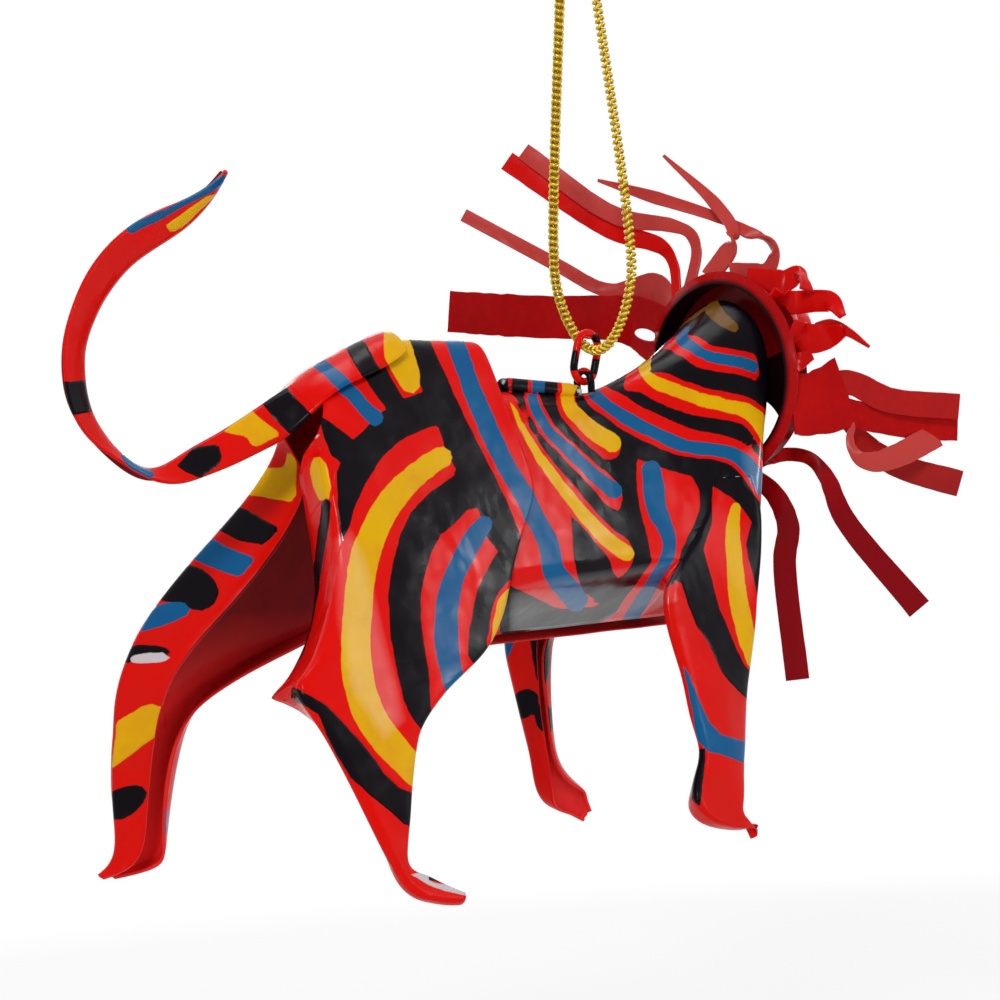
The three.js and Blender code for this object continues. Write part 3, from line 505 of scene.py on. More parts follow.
def mane_enamel():
    """Red enamel, dull and grainy and darker towards the bottom, with painted shade in the hollow
    of the ring and a painted reflection that pales some strips.
    """
    shader = Shader("mane_enamel", **ENAMEL)
    colour = shader.over(MANE_RED, MANE_DARK, shader.noise(*CLOUD_NOISE), *MANE_CLOUDS)
    grain = shader.ramp(shader.noise(*GRAIN_NOISE), *MANE_GRAINS)
    colour = shader.mix(shader.math("MULTIPLY", grain, MANE_GRAIN_SHARE), colour, MANE_GRAIN)
    colour = shader.over(colour, MANE_LOW, shader.height(), *MANE_LOW_Z)
    # Painted reflection: each strip's own share of pale red, and of deeper red where none is
    # painted
    own = shader.attribute("tone")
    colour = shader.over(colour, MANE_REFLECTION, own, 0.0, 1.0)
    colour = shader.over(colour, MANE_UNREFLECTED, own, 0.0, -1.0)
    # Painted shade: nearly black in the hollow of the ring, where little light reaches
    colour = shader.over(colour, HOLLOW_SHADE, shader.attribute("hollow"), *MANE_HOLLOW)
    enamel_finish(shader, colour, peel_bump=MANE_PEEL_BUMP)
    return shader.material


def gold_yarn():
    shader = Shader("gold_yarn", **GOLD)
    twist = shader.noise(*TWIST_NOISE)
    shader.set("Base Color", shader.over(GOLD_BRIGHT, GOLD_DULL, twist, *TWIST))
    shader.set("Roughness", shader.ramp(twist, *TWIST_GLOSS))
    shader.set("Normal", shader.bump(twist, *TWIST_BUMP))
    return shader.material


# Tin sheets: each is a copy of its solid, smoothed, with its paint stored as distances

SHARP = math.radians(48)
WELD = 2e-6
QUAD_FOLD = math.radians(30)     # between two triangles that make a quad
QUAD_SKEW = math.radians(55)
CREASE = 0.85
SMOOTH_LEVELS = 2
RIM_WIDTH = 0.30 * MM            # a narrower patch is a cut rim
DENT_HEIGHT = 0.08 * MM
DENT_SIZE = 7 * MM
DENT_SEED = 1            # without it the dents would lie elsewhere in each run


def welded(node):
    """The solid with shared corners, and quads where two triangles belong together."""
    bm = bmesh.new()
    bm.from_mesh(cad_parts[node].data)
    bmesh.ops.remove_doubles(bm, verts=bm.verts, dist=WELD)
    bmesh.ops.join_triangles(
        bm, faces=bm.faces, angle_face_threshold=QUAD_FOLD, angle_shape_threshold=QUAD_SKEW)
    bm.normal_update()
    return bm


def sheet_sides(bm):
    """Mark each face with its side of the sheet, by filling across all but the sharp edges:
    1 outside, 0 inside, 2 a cut rim."""
    layer = bm.faces.layers.float.new("skin")
    bm.faces.ensure_lookup_table()
    seen = set()
    for first in bm.faces:
        if first.index in seen:
            continue
        stack = [first]
        seen.add(first.index)
        patch = []
        while stack:
            face = stack.pop()
            patch.append(face)
            for edge in face.edges:
                if len(edge.link_faces) != 2 or edge.calc_face_angle(0) > SHARP:
                    continue
                for other in edge.link_faces:
                    if other.index not in seen:
                        seen.add(other.index)
                        stack.append(other)
        area = sum(f.calc_area() for f in patch)
        length = sum(e.calc_length() for f in patch for e in f.edges) / 2
        facing = 0.0
        for face in patch:
            y = face.calc_center_median().y - LION.y
            facing += face.calc_area() * face.normal.y * math.copysign(1, y)
        narrow = area / max(length, TINY) < RIM_WIDTH
        value = 2.0 if narrow else (1.0 if facing > 0 else 0.0)
        for face in patch:
            face[layer] = value


def subdivided(bm, name):
    crease = bm.edges.layers.float.get("crease_edge") or bm.edges.layers.float.new("crease_edge")
    for edge in bm.edges:
        if len(edge.link_faces) == 2 and edge.calc_face_angle(0) > SHARP:
            edge[crease] = CREASE
    rough = placed(name + "_rough", mesh_of(name, bm))
    modifier = rough.modifiers.new("smooth", "SUBSURF")
    modifier.levels = modifier.render_levels = SMOOTH_LEVELS
    final = evaluated(rough)
    bpy.data.objects.remove(rough)
    final.name = name
    shade_smooth(final)
    return placed(name, final)


def hammered(piece, node):
    """Slow hand-made unevenness that moves both faces of the sheet together, kept in the box
    of the solid that the piece stands for."""
    corners = rows_of(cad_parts[node].data.vertices, "co")
    low, high = corners.min(0), corners.max(0)
    noise.seed_set(DENT_SEED)
    for vertex in piece.data.vertices:
        moved = vertex.co + noise.noise_vector(vertex.co / DENT_SIZE) * DENT_HEIGHT
        vertex.co = np.clip(moved, low, high)


# Painted shapes, in pixels of the 1000 by 1000 picture. A shape with a width is a brush stroke
# along its points, whose own third value, where given, is the width there. One without is filled.

NEAR_HIND = [
    ("black", 0, [(392, 330), (440, 330), (470, 420), (540, 560), (520, 640), (470, 690),
        (440, 730), (408, 740), (380, 700), (345, 560), (338, 520), (336, 470), (318, 420),
        (292, 400), (262, 392), (300, 352), (352, 330)]),
    ("black", 0, [(292, 684), (325, 704), (350, 729), (373, 756), (387, 775), (400, 788),
        (425, 798), (425, 830), (403, 824), (391, 812), (373, 798), (350, 777), (338, 756),
        (328, 739), (318, 714), (290, 698)]),
    ("red", 0, [(284, 330), (352, 330), (363, 372), (391, 407), (378, 414), (366, 427), (353, 439),
        (318, 414), (298, 393), (270, 400)]),
    ("black", 18, [(352, 334), (362, 356), (378, 382), (398, 408)]),
    ("red", 0, [(364, 324), (376, 328), (392, 345), (424, 391), (403, 399), (391, 376), (379, 354),
        (371, 344)]),
    ("yellow", 0, [(382, 326), (405, 328), (413, 350), (419, 370), (420, 386), (414, 393),
        (404, 391), (393, 372), (384, 358), (384, 344)]),
    ("blue", 14, [(310, 352, 12), (318, 367, 13), (334, 381, 13), (350, 392, 14), (366, 409, 15),
        (375, 418, 16)]),
    ("red", 0, [(438, 424), (424, 429), (403, 439), (382, 456), (366, 484), (355, 507), (349, 528),
        (339, 546), (330, 600), (300, 660), (286, 684), (300, 690), (326, 705), (350, 730),
        (371, 751), (383, 772), (399, 787), (424, 796), (424, 734), (412, 720), (403, 700),
        (396, 670), (391, 640), (388, 600), (392, 565), (399, 537), (411, 512), (428, 494),
        (444, 483), (458, 473), (446, 452)]),
    ("yellow", 26, [(442, 457, 21), (426, 467.5, 22), (406, 484, 24), (386, 509, 26),
        (373, 534, 28), (364, 559, 29), (360, 585, 29), (358, 610, 29), (356, 643, 29),
        (358, 676, 30), (367, 709, 31), (383, 736, 29), (400, 756, 28), (424, 778, 28)]),
    ("red", 0, [(474, 504), (458, 521), (441, 535), (431, 554), (423, 579), (421, 601), (421, 626),
        (426, 653), (429, 680), (431, 722), (446, 716), (478, 672), (468, 655), (469, 626),
        (477.5, 590), (492, 561), (499, 551), (487, 537), (479, 510)]),
    ("blue", 20, [(484, 524, 18), (473, 540, 20), (462, 560, 21), (452, 583, 22), (447, 606, 23),
        (446, 632, 24), (449, 660, 23), (456, 690, 22), (462, 715, 20)]),
    ("red", 0, [(511, 578), (522, 590), (520, 640), (492, 668), (486, 642), (491, 612),
        (499, 591)]),
    ("yellow", 0, [(511, 585), (516, 597), (513, 625), (490, 653), (492, 626), (499, 598)]),
    ("red", 46, [(450, 330), (462, 356), (480, 395), (500, 435), (520, 476), (536, 512),
        (552, 552)]),
    ("black", 3, [(476, 334), (486, 352), (498, 378)]),
    ("blue", 19, [(452, 334, 18), (461, 358, 18), (474, 393, 18), (490.5, 433, 19),
        (510.5, 474, 19), (528, 502, 20), (538, 530, 20), (549, 562, 22)]),
    ("red", 0, [(288, 436), (300, 437), (318, 447), (341, 462), (336, 474), (332, 502), (318, 506),
        (310, 520), (300, 560), (292, 560)]),
    ("red", 0, [(334, 546), (326, 600), (305, 655), (280, 690), (296, 640), (312, 590),
        (318, 545)]),
    ("yellow", 0, [(313, 458), (320, 457), (327, 466), (331, 485), (329, 500), (320, 501),
        (313, 487), (310, 470)]),
    # A pale tin-grey band along the toe
    ("tin_and_glint", 0, [(410, 874), (436, 888), (468, 896), (466, 890), (440, 878), (424, 872)]),
    ("black", 4, [(430, 878), (446, 882)]),
    ("black", 4, [(440, 874), (462, 886)]),
    ("black", 3, [(454, 880), (466, 888)]),
    ("black", 9, [(326, 504, 10), (324, 525, 10), (319, 560, 9), (315, 590, 9), (309, 620, 8),
        (299, 655, 7), (284, 672, 10)]),
]

FAR_HIND = [
    ("yellow", 0, [(255, 468), (284, 468), (288, 450), (296, 460), (296, 500), (288, 502),
        (259, 496), (236, 494)]),
    ("black", 0, [(230, 501), (255, 514), (280, 529), (264, 545), (241, 542), (208, 525)]),
    ("blue", 0, [(204, 533), (222, 545), (256, 558), (240, 578), (212, 568), (186, 557)]),
    ("black", 0, [(183, 563), (202, 569), (214, 578), (219, 592), (213, 606), (201, 613),
        (189, 607), (158, 600)]),
    ("blue", 0, [(150, 608), (166, 603), (180, 601), (192, 607), (189, 614), (174, 622),
        (140, 632)]),
    ("black", 12, [(126, 656, 14), (142, 651, 13), (160, 651, 10), (170, 653, 7)]),
    ("yellow", 0, [(116, 722), (131, 713), (140, 707), (152, 704), (166, 709), (167, 730),
        (151, 739), (133, 753), (112, 768)]),
    ("black", 0, [(108, 793), (120, 787), (132, 785), (142, 786), (148, 793), (144, 803),
        (136, 811), (123, 820), (108, 821)]),
    ("blue", 9, [(163, 812), (164, 830)]),
    # Painted glint: a pale grey streak under the black mark, as a reflection on the leg
    ("tin_and_glint", 10, [(134, 659, 7), (150, 658, 11), (168, 656, 7)]),
]

NEAR_FORE = [
    ("black", 0, [(488, 372), (560, 370), (600, 360), (640, 345), (700, 310), (760, 290),
        (800, 300), (800, 700), (752, 702), (736, 689), (722, 673), (708, 642), (696, 625),
        (686, 596), (681, 580), (600, 622), (500, 640), (500, 560)]),
    ("red", 0, [(500, 380), (512, 400), (545, 462), (570, 510), (574, 561), (581, 589), (602, 606),
        (560, 610), (540, 600), (512, 586), (500, 586), (500, 500)]),
    ("blue", 22, [(516, 480, 19), (534, 514, 19), (549, 545, 20), (555, 572, 22), (565, 586, 24),
        (576, 600, 24)]),
    ("red", 26, [(508, 392, 8), (514, 409, 10), (525, 432, 13), (543, 462, 16), (564, 488, 18),
        (586, 515, 20), (606, 537, 22), (620, 552, 26), (620, 566, 18), (618, 577, 4)]),
    ("yellow", 12, [(511, 401, 4), (515, 411, 5), (525, 433, 7), (543, 462, 9), (563, 488.5, 11),
        (585, 515.5, 13), (606, 538, 15), (626, 553.5, 16)]),
    ("red", 20, [(530, 386, 15), (535, 407, 16), (548, 430, 17), (568, 450, 18), (588, 470, 20),
        (604, 485, 22), (612, 496, 20), (618, 508, 5)]),
    ("blue", 12, [(530, 386, 10), (535, 407, 10), (548, 430, 11), (568.5, 450, 12),
        (589, 470.5, 13), (604, 483.5, 15), (614, 491, 16)]),
    ("red", 26, [(564, 386, 18), (567, 406, 19), (578, 421, 21), (594, 435, 23), (609, 448, 24)]),
    ("yellow", 16, [(566, 384, 12), (568.5, 404, 13), (579.5, 418, 15), (595, 432, 17),
        (612.5, 443.5, 19)]),
    ("red", 30, [(598, 366, 20), (594, 384, 22), (598, 396, 26), (612, 405, 28), (632, 418, 30),
        (660, 432, 30), (686, 442, 29), (713, 447, 26), (732, 452, 25), (747, 462, 26),
        (760, 479, 27), (776, 502, 28)]),
    ("blue", 13, [(601, 362, 12), (597, 380, 12), (593, 392, 12), (604, 403, 12), (630, 420, 13),
        (659, 435, 13), (685, 446, 13), (713, 450, 13), (732, 454, 13), (746, 463, 15),
        (759, 480, 17), (774, 500, 18)]),
    ("red", 0, [(618, 360), (642, 350), (648, 368), (640, 392), (622, 389), (626, 375)]),
    ("red", 30, [(640, 384, 14), (657, 386, 28), (683, 396, 30), (712, 404, 28), (740, 409, 27),
        (753, 416, 27), (768, 434, 27), (778, 456, 27)]),
    ("yellow", 13, [(645, 348, 20), (644, 362, 13), (646, 374, 11), (657, 383, 12), (678, 391, 13),
        (700, 399, 13), (725, 405.5, 13), (742, 409, 14), (754, 416, 16), (766, 431, 17),
        (776, 452, 18)]),
    ("red", 24, [(656, 347, 6), (668, 343, 12), (680, 344, 20), (694, 349, 25), (703, 356, 25),
        (722, 360, 24), (745, 364, 24), (764, 371, 26)]),
    ("red", 8, [(654, 345), (679, 331)]),
    ("blue", 11, [(684, 327, 12), (682, 340, 13), (693, 347, 10), (702, 354, 11), (722, 359, 11),
        (742, 363, 12), (762, 369, 12)]),
    # Painted shade: black over the top of the neck inside the collar and down its right edge, where
    # the collar's shadow falls
    ("black", 0, [(690, 324), (700, 290), (760, 280), (790, 320), (790, 420), (776, 436),
        (768, 408), (760, 384), (757, 356), (744, 349), (727, 348), (705, 341), (693, 333)]),
    # Painted shade: the yellow stripe at the top of the neck, dimmed to brown in the collar's
    # shadow
    ("shaded_yellow", 0, [(700, 303), (707, 294), (718, 301), (725, 313), (738, 324), (742, 333),
        (732, 332), (716, 324), (705, 313)]),
    ("black", 0, [(494, 374), (508, 374), (508, 392), (494, 392)]),
    ("red", 4, [(510, 374), (510, 392)]),
    ("black", 0, [(512, 372), (528, 372), (528, 392), (512, 392)]),
    ("red", 4, [(530, 372), (530, 393)]),
    ("blue", 0, [(532, 372), (545, 372), (545, 393), (532, 393)]),
    ("black", 0, [(545, 372), (558, 372), (558, 393), (545, 393)]),
    ("red", 4, [(559, 372), (560, 391)]),
    ("yellow", 0, [(561, 370), (576, 370), (578, 384), (574, 394), (562, 394)]),
    ("red", 0, [(637, 459), (661, 468), (692, 476), (700, 493), (700, 511), (685, 543), (678, 563),
        (667, 587), (655, 602), (640, 618), (606, 626), (652, 561), (646, 533), (639, 506),
        (636, 476)]),
    ("blue", 18, [(651, 470, 19), (653.5, 487, 22), (657, 509, 20), (664.5, 526, 17),
        (670, 543, 14), (667, 558, 13), (657, 576, 13), (640, 604, 14), (630, 618, 14)]),
    ("red", 0, [(712, 486), (724, 494), (735, 500), (752, 521), (746, 546), (757, 594), (768, 640),
        (768, 680), (753, 676), (743, 662), (731, 637), (719, 606), (711, 575), (703, 550),
        (712, 524)]),
    ("yellow", 16, [(736, 507, 9), (733, 528, 14), (734.5, 561, 16), (737, 589, 17), (742, 618, 18),
        (750, 645, 19), (762, 668, 22)]),
    ("blue", 0, [(683, 664), (691, 680), (702, 706), (709, 721), (721, 734), (731, 738), (760, 744),
        (760, 768), (751, 766), (728, 757), (708, 752), (698, 742), (690, 700)]),
    ("black", 0, [(694, 750), (706, 748), (704, 775), (700, 806), (692, 800), (690, 775)]),
]

FAR_FORE = [
    ("blue", 0, [(498, 636), (516, 641), (505, 664)]),
    ("black", 0, [(529, 634), (552, 634), (549, 676), (542, 690), (535, 676)]),
    ("black", 25, [(521, 707), (527, 701)]),
    ("black", 20, [(544, 714), (547, 722)]),
]

TAIL = [
    ("black", 30, [(266, 386), (285, 408), (306, 430), (322, 444)]),
    ("yellow", 0, [(246, 406), (222, 432), (246, 437), (254, 447), (279, 437), (278, 432),
        (262, 420)]),
    ("black", 0, [(176, 466), (194, 446), (218, 444), (222, 456), (219, 464), (200, 478),
        (184, 472)]),
    ("blue", 8, [(124, 456), (134, 466), (150, 474)]),
    ("black", 0, [(55, 382), (86, 380), (93, 412), (66, 416)]),
    ("blue", 9, [(131, 228, 10), (146, 222, 9), (162, 215, 8), (182, 204, 6), (205, 191, 8),
        (224, 180, 10)]),
    ("yellow", 0, [(166, 226), (186, 211), (206, 197), (216, 194), (202, 208), (184, 226),
        (172, 233)]),
    ("red", 0, [(284, 340), (352, 328), (363, 372), (391, 407), (378, 414), (366, 427), (353, 439),
        (330, 424), (300, 396), (272, 372)]),
    ("blue", 14, [(302, 344, 12), (318, 362, 13), (334, 376, 13), (352, 392, 14), (368, 408, 15)]),
    ("black", 20, [(346, 328), (361, 356), (378, 382), (398, 408)]),
    ("black", 0, [(396, 318), (430, 318), (440, 400), (420, 390), (412, 350)]),
    ("red", 0, [(364, 310), (384, 310), (400, 345), (424, 391), (403, 399), (391, 376), (379, 354),
        (371, 344)]),
    ("yellow", 0, [(382, 310), (403, 312), (413, 350), (419, 370), (420, 386), (414, 393),
        (404, 391), (393, 372), (384, 358), (384, 344)]),
]

EYE_PAINT = [
    ("black", 0, [(566, 368), (604, 368), (604, 412), (566, 412)]),
    ("red", 0, [(574, 360), (594, 360), (594, 371), (574, 371)]),
]

RING_PAINT = [
    ("black", 0, [(560, 350), (578, 350), (579, 370), (560, 371)]),
    ("black", 0, [(592, 334), (602, 334), (602, 343), (592, 342)]),
    ("black", 0, [(586, 359), (602, 359), (602, 374), (584, 374)]),
]

# Smooth places of the enamel that mirror the bright surroundings
POLISHED = [
    [(512, 590), (560, 578), (680, 562), (674, 600), (606, 626), (512, 634)],
    [(334, 540), (350, 530), (366, 560), (384, 640), (404, 720), (384, 740), (352, 690),
        (338, 620)],
    [(742, 452), (762, 444), (780, 468), (768, 506), (746, 484)],
]

LION_AWAY = 450.0        # millimetres from the camera to the lion
PX_PER_MM = FOCAL_PX / LION_AWAY
RIDGE_HALF = 1.1 * MM    # the near side's pattern reaches this far over the ridge
RUMP_X = -0.038          # behind here the far side shows its own pattern on top too
UPWARD = 0.5             # a normal's height from which a face counts as top
EDGE_ON = -0.12          # a face turned this far past edge-on still counts as seen
FAR = 9.0                # millimetres, where no paint is near
STROKE_STEPS = 5


def to_segment(points, a, b):
    """How far along from a to b each point's nearest place is, and the distance to it."""
    edge = b - a
    t = np.clip(((points - a) @ edge) / max(edge @ edge, TINY), 0, 1)
    return t, np.linalg.norm(points - a - t[:, None] * edge, axis=1)


def outline_distance(points, outline):
    """Signed pixels from each point to a filled outline, negative inside."""
    corners = np.array(outline, float)
    nearest = np.full(len(points), np.inf)
    inside = np.zeros(len(points), bool)
    x, y = points.T
    for a, b in zip(corners, np.roll(corners, -1, axis=0)):
        nearest = np.minimum(nearest, to_segment(points, a, b)[1])
        if a[1] != b[1]:
            crosses = (a[1] > y) != (b[1] > y)
            inside ^= crosses & (x < (b[0] - a[0]) * (y - a[1]) / (b[1] - a[1]) + a[0])
    return np.where(inside, -nearest, nearest)


def stroke_distance(points, width, centre):
    """Signed pixels from each point to a brush stroke, negative inside."""
    fine = np.array([tuple(p) for p in spline([(*p, width)[:3] for p in centre], STROKE_STEPS)])
    nearest = np.full(len(points), np.inf)
    for a, b in zip(fine[:-1], fine[1:]):
        t, reach = to_segment(points, a[:2], b[:2])
        nearest = np.minimum(nearest, reach - (a[2] + (b[2] - a[2]) * t) / 2)
    return nearest


def paint_fields(points, shapes):
    """For each paint, the distance in millimetres to where it shows, later shapes on top."""
    order = list(PAINTS)
    fields = {name: np.full(len(points), FAR) for name in order}
    for name, width, outline in shapes:
        if width:
            d = stroke_distance(points, width, outline) / PX_PER_MM
        else:
            d = outline_distance(points, outline) / PX_PER_MM
        fields[name] = np.minimum(fields[name], d)
        for higher in order[order.index(name) + 1:]:
            fields[higher] = np.maximum(fields[higher], -d)
    return fields


def paint(piece, near_shapes, far_shapes):
    """Store the paints on the mesh. Each side of the lion is painted as it shows in the picture,
    and the faces that don't show there get the other side's pattern mirrored."""
    mesh = piece.data
    points = rows_of(mesh.vertices, "co")
    normals = rows_of(mesh.vertex_normals, "vector")
    to_eye = np.array(EYE) - points
    to_eye /= np.linalg.norm(to_eye, axis=1)[:, None]
    mirrored = points.copy()
    mirrored[:, 1] = 2 * LION.y - mirrored[:, 1]
    near = points[:, 1] < LION.y + RIDGE_HALF
    upward = (normals[:, 2] > UPWARD) & (points[:, 0] > RUMP_X)
    seen = near | (((normals * to_eye).sum(1) > EDGE_ON) & ~upward)
    use_near = seen == near
    picture = to_picture(np.where(seen[:, None], points, mirrored))
    near_fields = paint_fields(picture, near_shapes)
    far_fields = paint_fields(picture, far_shapes)
    fields = {name: np.where(use_near, near_fields[name], far_fields[name]) for name in PAINTS}
    fields["polish"] = np.full(len(points), FAR)
    for outline in POLISHED:
        distance = outline_distance(picture, outline) / PX_PER_MM
        fields["polish"] = np.minimum(fields["polish"], np.where(use_near, distance, FAR))
    store(mesh, fields)


def tin_sheet(node, name, near_shapes, far_shapes, material):
    bm = welded(node)
    sheet_sides(bm)
    piece = subdivided(bm, name)
    paint(piece, near_shapes, far_shapes)
    hammered(piece, node)
    stand_in(piece, node, "lion", material)


def painted_wire(node, name, body, shapes, material):
    """A round wire copied from its solid, with paint on its outside only."""
    bm = welded(node)
    layer = bm.faces.layers.float.new("skin")
    for face in bm.faces:
        face[layer] = 1.0
    piece = subdivided(bm, name)
    paint(piece, shapes, shapes)
    stand_in(piece, node, body, material)


BEAD_D = 2.06
BEAD_ENDS = ((-14.7, 0.0, 60.4), (-2.7, 0.0, 59.2))
BEAD_STEPS = 64
BEAD_SIDES = 24
BEAD_TIP = 0.02          # where its round ends start, as a share of the radius


def make_bead(material):
    """The rolled seam on the spine, finer than the sheet it lies on so that its bands are crisp."""
    rear, front = in_lion(BEAD_ENDS)
    length = (front - rear).length
    line = np.array([tuple(rear.lerp(front, k / BEAD_STEPS)) for k in range(BEAD_STEPS + 1)])
    places = np.linspace(0, length, BEAD_STEPS + 1)
    rings = tube_rings(line, 1.0, BEAD_SIDES)
    radius = BEAD_D * MM / 2
    near_end = np.clip(np.minimum(places, length - places) / radius, BEAD_TIP, 1)
    reach = radius * np.sqrt(1 - (1 - near_end) ** 2)
    rings = line[:, None] + (rings - line[:, None]) * reach[:, None, None]
    bead = new_mesh("spine_bead", rings.reshape(-1, 3), tube_faces(BEAD_STEPS + 1, BEAD_SIDES))
    paint(bead, NEAR_FORE, NEAR_FORE)
    store(bead.data, {"skin": np.ones(len(bead.data.vertices))})
    dress(bead, material)
    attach(bead, "lion")


# Mane: a ring with strips cut from its edge, all in millimetres in the lion's own frame

SHEET = 0.4
RIM_X = 22.8
RIM_Z = 60.5
RIM_R = 12.2
RIM_DEPTH = 3.8
COLLAR_R = 14.2
COLLAR_LEAN = 1.0
COLLAR_SEGMENTS = 96
FLANGE_R = 13.4          # the worn edge of the collar between the strips
FLANGE_X = COLLAR_LEAN * 0.6
COLLAR_PROFILE = [       # radius, and place behind the rim's start, round the collar's section
    (RIM_R - SHEET, 0), (FLANGE_R - 0.15, FLANGE_X), (FLANGE_R, FLANGE_X + 0.12),
    (FLANGE_R, FLANGE_X + SHEET - 0.1), (FLANGE_R - 0.15, FLANGE_X + SHEET),
    (RIM_R + 0.2, SHEET + 0.05), (RIM_R, SHEET + 0.3), (RIM_R, RIM_DEPTH),
    (RIM_R - SHEET, RIM_DEPTH),
]
ROOT_R = 13.0
ROOT_X = RIM_X + COLLAR_LEAN * (ROOT_R - RIM_R + SHEET) / (COLLAR_R - RIM_R + SHEET) + SHEET * 0.6
THROAT_Z = 57.4
THROAT_DIP = 5.5         # how far the plate reaches further down at its two sides
DIP_POWER = 4
PLATE_STEPS = 48
STRIP_ROWS = 9           # rows between two bends
TURN_FROM = 0.1
TURN_TO = 0.7
CROWN = 0.04             # how far a strip's middle stands above its edges
HALF_CROWN = CROWN * 0.75    # the same half way to the edges
CUT_WAVE = 0.05          # unevenness of the snipped edges, as a share of the width
CUT_WAVES = 0.9          # how close they follow one another, per millimetre
BEVEL = 0.09             # width and drop of the eased edges
BEVEL_SHARE = 0.4        # and most of a narrow strip's half width that they take
BEVEL_DROP = 0.08
JOIN_SHARP = math.radians(30)
HOLLOW_DEPTH = RIM_DEPTH + 0.1   # the ring's painted shade ends here
NO_HOLLOW_SHADE = COLLAR_R * 2

TO_BACK = (-0.67, -0.74, 0)
# Each strip's widths from root to tip, its place on the ring in degrees, its bends, and its
# tip's facing where that isn't TO_BACK
MANE_STRIPS = [
    ((8.2, 5.8, 5.6, 5.5), 63, [(22.6, 15, 68.4), (19.5, 19, 69.2), (15.5, 22.5, 69.5),
        (9.5, 26.5, 70.2), (4, 30.5, 71)]),
    ((5.6, 5, 1.9, 1.8, 1.8), 52, [(25.3, 13.2, 72), (23.7, 16.7, 72.4), (21.7, 19.9, 73.1),
        (18.9, 24.4, 76.3), (11.4, 34.8, 84.1)]),
    ((1.7, 1.6, 2.4, 2.6, 2.6), 36, [(24, 8.4, 75.5), (22.7, 9.1, 77.8), (19.1, 13.3, 80),
        (16.4, 16.8, 82.9), (10.4, 24.5, 90.4)]),
    ((2, 1.6, 1.5, 2.3, 2.3), 23, [(24.9, 4.9, 77.1), (24.4, 5.4, 79.3), (23.1, 7.1, 80.4),
        (18.6, 12.9, 82.2), (11.7, 22.6, 91.5)]),
    ((2.8, 3.2, 1.6, 1.7, 0.4), 6, [(25.5, -0.3, 76.7), (26.2, -0.7, 79.2), (25.8, 1.6, 82.6),
        (25.4, 10.2, 89.7)], (0.7, 0.5, -0.5)),
    ((3.2, 2.3, 2.2, 1.2, 1.7, 0.4), -11, [(26.9, -5.7, 73.7), (27.7, -6.3, 76.3),
        (27.7, -1.6, 78.9), (27.1, 2.5, 81), (20.7, 10.3, 84.9),
        (17, 14.3, 86.9)], (0.75, 0.63, -0.1)),
    ((3.6, 2.8, 1.3, 2.2), -26, [(27.5, -8.3, 72.1), (28.2, -10.3, 73.1), (27.3, -12.2, 71.9),
        (26.7, -13, 70.7)], (0, -0.8, 0.6)),
    ((3.6, 3, 2.8, 1), -44, [(26.8, -9.7, 69.2), (28.1, -12.9, 69.2), (28.2, -15.7, 68.8),
        (27.5, -17.9, 67.1)]),
    ((4.6, 4, 3.2, 1.6), -70, [(26.2, -13, 64.4), (27.8, -14.8, 64.5), (28.2, -17.2, 65.1)]),
    ((2.6, 1.2), -86, [(25.2, -14.6, 62.3)]),
    ((7.6, 8, 8.4, 9.4), -110, [(26.6, -13.8, 56.2), (29.8, -16, 57.3)]),
    ((2.3, 1.8, 1.8, 2.6, 3.2), -167, [(29.1, -3.6, 49.7), (31.4, -7, 49.2), (32.3, -9.2, 46.7),
        (33.7, -10.7, 41.2), (40.3, -16.9, 28.9)]),
    ((2.6, 2.4, 3, 3), 176, [(26.4, -1, 47.2), (28.6, -3.2, 44.8), (29.8, -4.4, 40.5),
        (29, -4.2, 36), (29.6, -4.8, 20.5)]),
    ((3.6, 3.2), 154, [(28, 7.6, 46), (30, 10.5, 42.5), (29.5, 12, 37), (30.5, 13, 31)]),
    ((3.6, 3), 131, [(27, 13, 49.4), (30, 16.5, 47.8), (33, 20, 48), (36.5, 24, 46.5)]),
    ((4.4, 3.6), 105, [(25.5, 16, 55.4), (24, 20, 54), (21.5, 24.5, 54), (19, 28.5, 52.5)]),
]
# The strips that the broad panel splits into, and one claw: widths and bends
SPLIT_STRIPS = [
    ((3.4, 3.2, 3.2, 3.3), [(28.5, -14.7, 58.5), (30.4, -16.5, 58.4), (33.7, -19.3, 56.1),
        (41.4, -24.5, 54.7)]),
    ((3.6, 3.6, 3.3, 3.3), [(28.1, -14.3, 55.5), (30.9, -16.4, 54.4), (38.2, -20.6, 52.4),
        (42.5, -23.1, 52)]),
    ((0.9, 0.9, 1.3, 2.6, 3.2, 3.2), [(29.6, -15.8, 55.1), (30, -16.3, 53.1), (29.6, -16.2, 51.5),
        (29.5, -16.6, 50.1), (30, -17.5, 48.8), (31.7, -18.7, 48.3), (34.6, -19.9, 49),
        (37.7, -20.8, 50.2), (40.2, -21.6, 51.3)]),
    ((1.4, 2.4, 3.2, 3.4), [(29, -15, 55.2), (31.8, -15.4, 52), (35.3, -15.9, 49.2),
        (38, -17.8, 47.2), (43.2, -22.4, 44.8)]),
    ((1.8, 2.2, 1.2, 0.4), [(27.6, -13.2, 65.5), (28.4, -14.9, 65.7), (28.6, -17.6, 65),
        (28.3, -21.3, 63)]),
]
SLOT_AT = (24.4, 14, 66.9)
SLOT_SIZE = (1.8, 3, 0.9)
SLOT_PITCH = 0.35
SLOT_YAW = -0.73
SLOT_ROUND = (32, 20)    # segments and rings of the ball that cuts it


